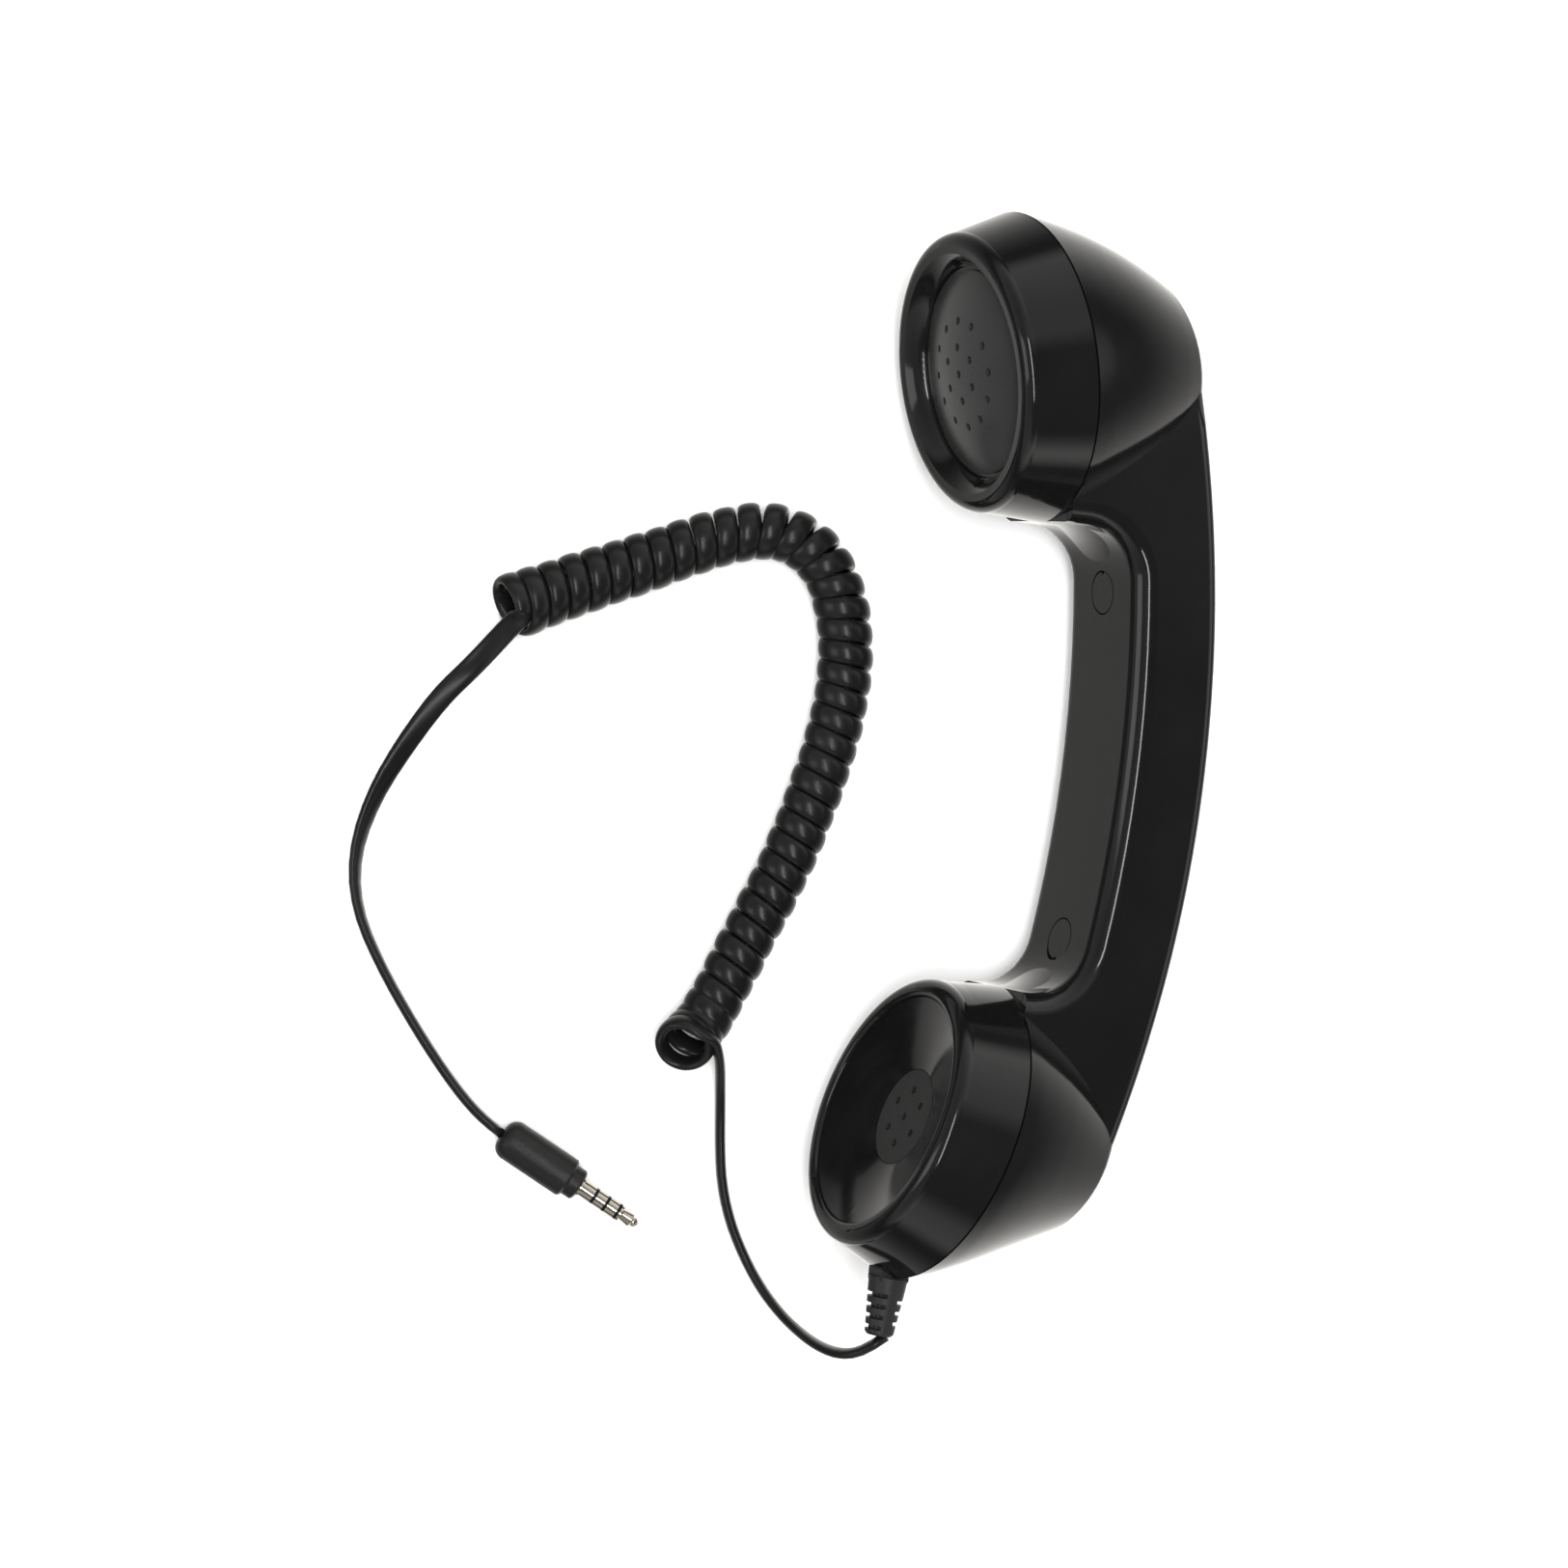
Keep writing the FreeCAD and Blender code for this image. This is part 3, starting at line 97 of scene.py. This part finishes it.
def object_noise(tree, scale, detail, rough):
    """Noise in object coordinates, which are metres in the part's frame."""
    place = tree.nodes.new("ShaderNodeTexCoord")
    noise = tree.nodes.new("ShaderNodeTexNoise")
    noise.inputs["Scale"].default_value = scale
    noise.inputs["Detail"].default_value = detail
    noise.inputs["Roughness"].default_value = rough
    tree.links.new(place.outputs["Object"], noise.inputs["Vector"])
    return noise.outputs["Fac"]


def remap(tree, value, low, high, to_low, to_high):
    node = tree.nodes.new("ShaderNodeMapRange")
    node.inputs["From Min"].default_value = low
    node.inputs["From Max"].default_value = high
    node.inputs["To Min"].default_value = to_low
    node.inputs["To Max"].default_value = to_high
    tree.links.new(value, node.inputs["Value"])
    return node.outputs["Result"]


def blended_colour(tree, amount, first, second):
    node = tree.nodes.new("ShaderNodeMix")
    node.data_type = "RGBA"
    node.inputs[MIX_FIRST].default_value = (*first, 1)
    node.inputs[MIX_SECOND].default_value = (*second, 1)
    tree.links.new(amount, node.inputs[MIX_FACTOR])
    return node.outputs[MIX_COLOUR]


def bumped(tree, heights, strength, distance):
    node = tree.nodes.new("ShaderNodeBump")
    node.inputs["Strength"].default_value = strength
    node.inputs["Distance"].default_value = distance
    tree.links.new(heights, node.inputs["Height"])
    return node.outputs["Normal"]


def plastic(name, colours, roughness, grain, bump, specular=0.5):
    """Moulded plastic or rubber: patchy colour and gloss, and a fine surface grain."""
    material = bpy.data.materials.new(name)
    tree, shader = shader_of(material)
    patches = object_noise(tree, PATCH_SCALE, *PATCH_NOISE)
    fine = object_noise(tree, grain, *GRAIN_NOISE)
    tree.links.new(blended_colour(tree, patches, *colours), shader.inputs["Base Color"])
    tree.links.new(remap(tree, patches, *PATCH_RANGE, *roughness), shader.inputs["Roughness"])
    tree.links.new(bumped(tree, fine, *bump), shader.inputs["Normal"])
    shader.inputs["Specular IOR Level"].default_value = specular
    return material


def metal(name, colours, roughness, grain, bump):
    """Plated or cast metal, with the same patches and grain."""
    material = plastic(name, colours, roughness, grain, bump)
    shader_of(material)[1].inputs["Metallic"].default_value = 1.0
    return material


SHELL = plastic("gloss_shell", ((0.004, 0.004, 0.0044), (0.007, 0.007, 0.0074)), (0.09, 0.13),
                700.0, (0.03, 0.00002))
DISC = plastic("satin_disc", ((0.024, 0.024, 0.0245), (0.03, 0.03, 0.0305)), (0.26, 0.32),
               900.0, (0.03, 0.00001))
MATTE = plastic("matte_disc", ((0.012, 0.012, 0.0125), (0.018, 0.018, 0.018)), (0.45, 0.55),
                3000.0, (0.3, 0.00008))
RELIEF = plastic("relief_rubber", ((0.009, 0.009, 0.0095), (0.014, 0.014, 0.014)), (0.42, 0.55),
                 2600.0, (0.3, 0.0001))
OVERMOULD = plastic("overmould", ((0.004, 0.004, 0.0044), (0.008, 0.008, 0.008)), (0.32, 0.44),
                    1400.0, (0.5, 0.00025))
JACKET = plastic("cord_jacket", ((0.004, 0.004, 0.0044), (0.008, 0.008, 0.008)), (0.27, 0.34),
                 900.0, (0.08, 0.00004), 0.42)
# Near-black foam for the speaker gasket. The same near-black stands as painted shade on the
# microphone capsule, so the mouthpiece grille holes in front of it read dark.
FOAM_AND_PAINTED_SHADE = plastic("foam", ((0.003, 0.003, 0.003), (0.007, 0.007, 0.007)), (0.8, 0.95),
               2500.0, (0.6, 0.0002), 0.15)
# Near-black speaker cone: the cone's own dark colour, darkened further as painted shade so the
# earpiece grille holes in front of it read dark.
FILM_AND_PAINTED_SHADE = plastic("cone_film", ((0.002, 0.002, 0.002), (0.005, 0.005, 0.005)), (0.6, 0.8),
               1800.0, (0.2, 0.0001), 0.15)
BAND = plastic("band_plastic", ((0.0012, 0.0012, 0.0013), (0.003, 0.003, 0.003)), (0.35, 0.45),
               1800.0, (0.1, 0.00003), 0.25)
BOARD = plastic("board", ((0.01, 0.12, 0.04), (0.02, 0.2, 0.07)), (0.25, 0.4),
                1500.0, (0.2, 0.00005))
RED = plastic("red_wire", ((0.4, 0.01, 0.01), (0.55, 0.02, 0.02)), (0.3, 0.4),
              900.0, (0.1, 0.00005))
BLUE = plastic("blue_wire", ((0.01, 0.05, 0.35), (0.02, 0.08, 0.5)), (0.3, 0.4),
               900.0, (0.1, 0.00005))
NICKEL = metal("nickel", ((0.62, 0.57, 0.49), (0.76, 0.71, 0.63)), (0.13, 0.22),
               1600.0, (0.06, 0.00002))
STEEL = metal("zinc_steel", ((0.5, 0.5, 0.52), (0.62, 0.62, 0.64)), (0.25, 0.4),
              1200.0, (0.2, 0.00005))
IRON = metal("cast_iron", ((0.2, 0.2, 0.2), (0.32, 0.31, 0.3)), (0.5, 0.7),
             900.0, (0.5, 0.0002))
FERRITE = plastic("ferrite", ((0.03, 0.03, 0.032), (0.06, 0.06, 0.062)), (0.5, 0.65),
                  1400.0, (0.4, 0.0001))
COPPER = metal("copper_wire", ((0.6, 0.26, 0.12), (0.75, 0.36, 0.18)), (0.2, 0.35),
               3000.0, (0.3, 0.0001))

FINISHES = {
    SHELL: ("back_shell", "grip_panel", "earpiece_cap", "mouthpiece_cap", "mouthpiece_funnel",
            "screw_cover_upper", "screw_cover_lower"),
    DISC: ("earpiece_grille",),
    MATTE: ("mouthpiece_grille", "speaker_frame", "speaker_retainer"),
    BAND: ("plug_insulators",),
    RELIEF: ("strain_relief", "microphone_boot"),
    OVERMOULD: ("plug_body", "plug_collar"),
    JACKET: ("cord_tail",),
    # The microphone capsule gets this near-black as painted shade behind the grille holes, not as a
    # colour of its own.
    FOAM_AND_PAINTED_SHADE: ("speaker_gasket", "microphone_capsule"),
    # The diaphragm's near-black is partly its own colour and partly painted shade behind the grille
    # holes.
    FILM_AND_PAINTED_SHADE: ("speaker_diaphragm",),
    BOARD: ("junction_board",),
    RED: ("speaker_wires",),
    BLUE: ("microphone_wires",),
    NICKEL: ("plug_sleeve", "plug_ring_inner", "plug_ring_outer", "plug_tip"),
    STEEL: ("grip_screws", "weight_screws", "speaker_screws", "board_screws", "speaker_yoke",
            "speaker_top_plate"),
    IRON: ("handle_weight",),
    FERRITE: ("speaker_magnet",),
    COPPER: ("voice_coil",),
}


def finish_nodes():
    """Give each carried CAD node its material."""
    for material, names in FINISHES.items():
        for name in names:
            for place in NODES[name].material_slots:
                place.material = material


finish_nodes()


# ---- free cord: lead, coil and lead, in one spline ----

CORD_WIDTH = 4.65 * MM
CORD_THICKNESS = 2.15 * MM
SECTION_POINTS = 20
SECTION_POWER = 2.2             # 2 is an ellipse, and more is squarer
COIL_OUTER_RADIUS = 5.8 * MM
COIL_RADIUS = COIL_OUTER_RADIUS - CORD_THICKNESS / 2
TURNS = 39
START_TURN = 85.0               # degrees round the coil, where the lead from the handset joins it
END_TURN = 110.0                # and where the lead to the plug leaves it
POINTS_PER_TURN = 16
WOBBLE = 0.012                  # share of the radius by which the turns differ
WOBBLE_RATE = 0.37
SPLINE_STEPS = 3                # points read from the spline for each control point
AXIS_STEPS = 12

LEAD_FROM_HANDSET = mm([
    (-21.9, -117.8, 31.9), (-25.9, -119.6, 28.4), (-30.2, -119.4, 22.3), (-34.4, -117.5, 15.0),
    (-38.3, -114.6, 9.0), (-42.2, -110.4, 5.0), (-46.0, -104.7, 2.9), (-49.6, -97.8, 2.3),
    (-52.2, -89.8, 2.3), (-53.4, -81.2, 2.4), (-54.1, -74.2, 3.1), (-54.8, -69.0, 5.2),
    (-55.4, -65.4, 7.8), (-56.3, -62.2, 10.4), (-57.7, -59.4, 12.3),
])
COIL_AXIS = mm([
    (-63.6, -61.3, 10.6), (-63.0, -60.5, 9.5), (-61.8, -59.0, 7.6), (-59.8, -56.4, 6.3),
    (-56.8, -49.8, 5.85), (-51.9, -36.7, 5.85), (-46.4, -23.5, 5.85), (-42.2, -9.0, 5.85),
    (-39.0, 5.0, 5.85), (-37.7, 18.6, 5.85), (-39.4, 31.6, 5.85), (-44.7, 42.2, 5.85),
    (-54.6, 47.2, 5.85), (-66.8, 44.2, 6.0), (-81.5, 37.1, 6.25), (-96.0, 30.8, 6.5),
    (-108.5, 24.8, 6.9),
])
# After each number of turns: how far along the axis they have come, as a share of it, how far
# they lean over with their tops towards the coil's end, in degrees, and their extra radius in mm.
TURN_PLACES = ((0.0, 0.0, 10.0, 0.5), (0.5, 0.004, 10.0, 0.4), (1.4, 0.0215, 6.0, 0.25),
               (2.4, 0.039, 6.0, 0.05), (4.0, 0.0755, 6.0, 0.0), (10.0, 0.238, 1.0, 0.0),
               (24.0, 0.608, 0.0, 0.0), (31.0, 0.794, -8.0, 0.35), (36.5, 0.938, -16.0, 0.85),
               (38.2, 0.982, -22.0, 1.1), (39.0, 0.998, -25.0, 1.2), (39.3, 1.0, -25.0, 1.2))
LEAD_TO_PLUG = mm([
    (-106.9, 22.5, 10.2), (-109.0, 19.8, 7.2), (-111.8, 16.0, 3.9), (-115.4, 11.3, 1.7),
    (-120.9, 4.9, 1.15), (-127.4, -6.2, 1.3), (-132.7, -17.6, 1.6), (-135.3, -29.5, 2.0),
    (-133.6, -40.6, 2.2), (-127.8, -51.2, 2.25), (-121.2, -60.8, 2.25), (-114.2, -69.9, 2.3),
    (-107.6, -77.4, 2.9), (-102.3, -81.9, 4.0),
])
PLUG_REAR = Vector((-98.9, -83.9, 4.35)) * MM
# How far the flat cord leans over at each point of its leads, from 0 on edge to 90 lying flat.
LEAN_TO_PLUG = (84, 86, 88, 88, 84, 66, 44, 24, 10, 3, 0, 0, 0, 0, 0)
EXIT_DEPTH = 0.15 * MM          # vertices this near the strain relief's lowest Y are its end face
UPWARD = Vector((0, 0, 1))


def read_spline(name, points, steps):
    """Points along one smooth NURBS line that has the given control points."""
    curve = bpy.data.curves.new(name, "CURVE")
    curve.dimensions = "3D"
    line = curve.splines.new("NURBS")
    line.points.add(len(points) - 1)
    for point, place in zip(line.points, points):
        point.co = (*place, 1.0)
    line.order_u = 3
    line.use_endpoint_u = True
    line.resolution_u = steps
    holder = bpy.data.objects.new(name, curve)
    mesh = bpy.data.meshes.new_from_object(holder)
    places = [vertex.co.copy() for vertex in mesh.vertices]
    bpy.data.meshes.remove(mesh)
    bpy.data.objects.remove(holder)
    bpy.data.curves.remove(curve)
    return places


def lengths_along(points):
    """Length from the first point to each point."""
    total = [0.0]
    for before, after in zip(points, points[1:]):
        total.append(total[-1] + (after - before).length)
    return total


def at_length(points, total, distance):
    """Place and direction at a distance along the points."""
    index = 1
    while index < len(points) - 1 and total[index] < distance:
        index += 1
    before, after = points[index - 1], points[index]
    share = (distance - total[index - 1]) / (total[index] - total[index - 1])
    return before.lerp(after, share), (after - before).normalized()


def turn_place(turns):
    """Share of the axis, lean in radians and extra radius in metres after a number of turns."""
    for (low, *first), (high, *second) in zip(TURN_PLACES, TURN_PLACES[1:]):
        if turns <= high:
            part = (turns - low) / (high - low)
            share, lean, extra = (a + (b - a) * part for a, b in zip(first, second))
            return share, math.radians(lean), extra * MM
    share, lean, extra = TURN_PLACES[-1][1:]
    return share, math.radians(lean), extra * MM


def coil_points():
    """Control points of the coil's turns, and the direction of the flat cord's width at each."""
    axis = read_spline("coil_axis", COIL_AXIS, AXIS_STEPS)
    total = lengths_along(axis)
    step = 2 * math.pi / POINTS_PER_TURN
    # The spline runs inside its control points, so these lie that much further out.
    radius = COIL_RADIUS * 4 / (3 + math.cos(step))
    sweep = math.radians(360 * TURNS + END_TURN - START_TURN)
    count = round(sweep / step)
    places, directions = [], []
    for index in range(count + 1):
        turned = sweep * index / count
        share, lean, extra = turn_place(turned / (2 * math.pi))
        centre, ahead = at_length(axis, total, total[-1] * share)
        right = ahead.cross(UPWARD).normalized()
        over = right.cross(ahead)
        wide = math.cos(lean) * ahead - math.sin(lean) * over
        over = math.cos(lean) * over + math.sin(lean) * ahead
        angle = math.radians(START_TURN) + turned
        size = radius * (1 + WOBBLE * math.sin(WOBBLE_RATE * angle)) + extra
        places.append(centre + size * (math.cos(angle) * right + math.sin(angle) * over))
        directions.append(wide)
    return places, directions


def lead_width(places, index, lean):
    """Direction of the flat cord's width at a point of a lead."""
    ahead = (places[index + 1] - places[index - 1]).normalized()
    upright = (UPWARD - UPWARD.dot(ahead) * ahead).normalized()
    flat = ahead.cross(upright)
    angle = math.radians(lean)
    return math.cos(angle) * upright + math.sin(angle) * flat


def flattened(value):
    """A sine or cosine drawn towards 1 or -1, which squares the section a little."""
    return math.copysign(abs(value) ** (2 / SECTION_POWER), value)


def cord_section():
    """Rounded flat section as (along the width, along the thickness)."""
    points = []
    for index in range(SECTION_POINTS):
        angle = 2 * math.pi * index / SECTION_POINTS
        points.append((flattened(math.cos(angle)) * CORD_WIDTH / 2,
                       flattened(math.sin(angle)) * CORD_THICKNESS / 2))
    return points


def swept(name, places, widths, section):
    """Closed tube of the section along the places, its width turned as widths says."""
    mesh = bmesh.new()
    rings = []
    for index, place in enumerate(places):
        before = places[max(index - 1, 0)]
        after = places[min(index + 1, len(places) - 1)]
        ahead = (after - before).normalized()
        wide = widths[index] - widths[index].dot(ahead) * ahead
        wide.normalize()
        thick = ahead.cross(wide)
        rings.append([mesh.verts.new(place + a * wide + b * thick) for a, b in section])
    for first, second in zip(rings, rings[1:]):
        for index in range(len(section)):
            following = (index + 1) % len(section)
            mesh.faces.new((first[index], first[following], second[following], second[index]))
    mesh.faces.new(rings[0])
    mesh.faces.new(reversed(rings[-1]))
    bmesh.ops.recalc_face_normals(mesh, faces=mesh.faces)
    for face in mesh.faces:
        face.smooth = True
    data = bpy.data.meshes.new(name)
    mesh.to_mesh(data)
    mesh.free()
    piece = bpy.data.objects.new(name, data)
    bpy.context.scene.collection.objects.link(piece)
    return piece


def cord_exit():
    """Middle of the strain relief's end face."""
    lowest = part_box("strain_relief")[0].y
    end = [v.co for v in NODES["strain_relief"].data.vertices if v.co.y < lowest + EXIT_DEPTH]
    return sum(end, Vector()) / len(end)


def route_and_widths():
    """Control points of the whole cord, and the direction of its width at each."""
    turns, directions = coil_points()
    first = [cord_exit()] + LEAD_FROM_HANDSET
    route = first + turns + LEAD_TO_PLUG + [PLUG_REAR]
    widths = [lead_width(route, max(index, 1), 0) for index in range(len(first))]
    widths += directions
    for index, lean in enumerate(LEAN_TO_PLUG):
        place = min(len(first) + len(turns) + index, len(route) - 2)
        widths.append(lead_width(route, place, lean))
    for index in range(1, len(widths)):
        if widths[index].dot(widths[index - 1]) < 0:
            widths[index] = -widths[index]
    return route, widths


def widths_along(count, widths):
    """The widths at the control points, carried to the points read from the spline."""
    along = []
    last = len(widths) - 1
    for index in range(count):
        # A spline of order 3 spends each of its stretches about one control point.
        spot = min(index / (count - 1) * (last - 1) + 0.5, last - 0.001)
        low = int(spot)
        along.append(widths[low].lerp(widths[low + 1], spot - low))
    return along


def make_cord():
    route, widths = route_and_widths()
    line = read_spline("cord_route", route, SPLINE_STEPS)
    cord = swept("coiled_cord", line, widths_along(len(line), widths), cord_section())
    cord.data.materials.append(JACKET)
    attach(cord, "handset")
    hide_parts("cord_lead_handset", "cord_coil", "cord_lead_plug")


make_cord()


# ---- floor and light ----

FLOOR_HALF = 3.0
FLOOR_COLOURS = ((0.90, 0.90, 0.90), (0.93, 0.93, 0.93))
FLOOR_PATCH_SCALE = 8.0

# The studio's surround, by direction (X right, Y up the picture, Z overhead). Each pair is a
# range of directions or the light levels at its two ends.
SKY_HEIGHTS = (0.1, 0.75)
SKY_LEVELS = (1.3, 0.6)
DARK_SIDE = (0.42, -0.35, 0.85)     # middle of the dark ceiling
DARK_EDGE = (0.70, 0.86)            # cosines from its middle, where it starts and is full
DARK_LEVEL = 0.04
HORIZON = (0.0, 0.2)
TABLE_EDGE = (-1.0, -0.1)           # the light table seen in what faces down
TABLE_CURVE = 1.15
TABLE_LEVEL = 1.9
TABLE_FLOOR = 0.06
SIDE_RANGE = (-0.5, 0.5)
SIDE_LEVELS = (0.36, 1.0)
SURROUND_COLOUR = (1.0, 0.985, 0.95, 1.0)

# Name, place, aim, size and power in watts of each light.
KEY_BOX = ("key_box", (-0.03, -0.1, 1.6), (-0.05, 0, 0), (0.15, 1.3), 7.4)
LEFT_BOX = ("left_box", (-1.5, -0.2, 1.1), (0, 0, 0), (0.7, 0.9), 3)
FLOOR_FILL = ("floor_fill", (-0.05, 0.0, 3.2), (-0.05, 0, 0), (2.2, 2.2), 150)


def make_floor():
    corners = [(x * FLOOR_HALF, y * FLOOR_HALF, 0) for x, y in ((-1, -1), (1, -1), (1, 1), (-1, 1))]
    data = bpy.data.meshes.new("floor")
    data.from_pydata(corners, [], [(0, 1, 2, 3)])
    floor = bpy.data.objects.new("floor", data)
    bpy.context.scene.collection.objects.link(floor)
    material = bpy.data.materials.new("floor")
    tree, shader = shader_of(material)
    patches = object_noise(tree, FLOOR_PATCH_SCALE, *PATCH_NOISE)
    tree.links.new(blended_colour(tree, patches, *FLOOR_COLOURS), shader.inputs["Base Color"])
    shader.inputs["Roughness"].default_value = 0.9
    shader.inputs["Specular IOR Level"].default_value = 0.1
    data.materials.append(material)
    floor.visible_glossy = False


def make_light(name, place, aim, size, power):
    data = bpy.data.lights.new(name, "AREA")
    data.shape = "RECTANGLE"
    data.size = size[0]
    data.size_y = size[1]
    data.energy = power
    light = bpy.data.objects.new(name, data)
    light.location = place
    light.rotation_euler = (Vector(aim) - Vector(place)).to_track_quat("-Z", "Y").to_euler()
    bpy.context.scene.collection.objects.link(light)
    return light


def world_math(tree, operation, first, second):
    node = tree.nodes.new("ShaderNodeMath")
    node.operation = operation
    for index, value in enumerate((first, second)):
        if isinstance(value, float):
            node.inputs[index].default_value = value
        else:
            tree.links.new(value, node.inputs[index])
    return node.outputs[0]


def make_world():
    """Light surround near the horizon, dimmer overhead, with a dark ceiling on one side."""
    world = bpy.data.worlds.new("studio")
    world.use_nodes = True
    tree = world.node_tree
    back = tree.nodes["Background"]
    place = tree.nodes.new("ShaderNodeTexCoord")
    split = tree.nodes.new("ShaderNodeSeparateXYZ")
    tree.links.new(place.outputs["Generated"], split.inputs[0])
    towards = tree.nodes.new("ShaderNodeVectorMath")
    towards.operation = "DOT_PRODUCT"
    towards.inputs[1].default_value = Vector(DARK_SIDE).normalized()
    tree.links.new(place.outputs["Generated"], towards.inputs[0])
    height = remap(tree, split.outputs["Z"], *SKY_HEIGHTS, *SKY_LEVELS)
    table = remap(tree, split.outputs["Z"], *TABLE_EDGE, 1.0, 0.0)
    table = world_math(tree, "MULTIPLY", world_math(tree, "POWER", table, TABLE_CURVE), TABLE_LEVEL)
    table = world_math(tree, "ADD", table, TABLE_FLOOR)
    sides = remap(tree, split.outputs["X"], *SIDE_RANGE, *SIDE_LEVELS)
    open_sky = remap(tree, towards.outputs["Value"], *DARK_EDGE, 1.0, DARK_LEVEL)
    horizon = remap(tree, split.outputs["Z"], *HORIZON, 0.0, 1.0)
    level = world_math(tree, "MULTIPLY", height, open_sky)
    level = world_math(tree, "MULTIPLY", level, horizon)
    level = world_math(tree, "MAXIMUM", level, table)
    level = world_math(tree, "MULTIPLY", level, sides)
    tree.links.new(level, back.inputs["Strength"])
    back.inputs["Color"].default_value = SURROUND_COLOUR
    bpy.context.scene.world = world


make_floor()
make_world()
make_light(*KEY_BOX)
make_light(*LEFT_BOX)
make_light(*FLOOR_FILL).visible_glossy = False
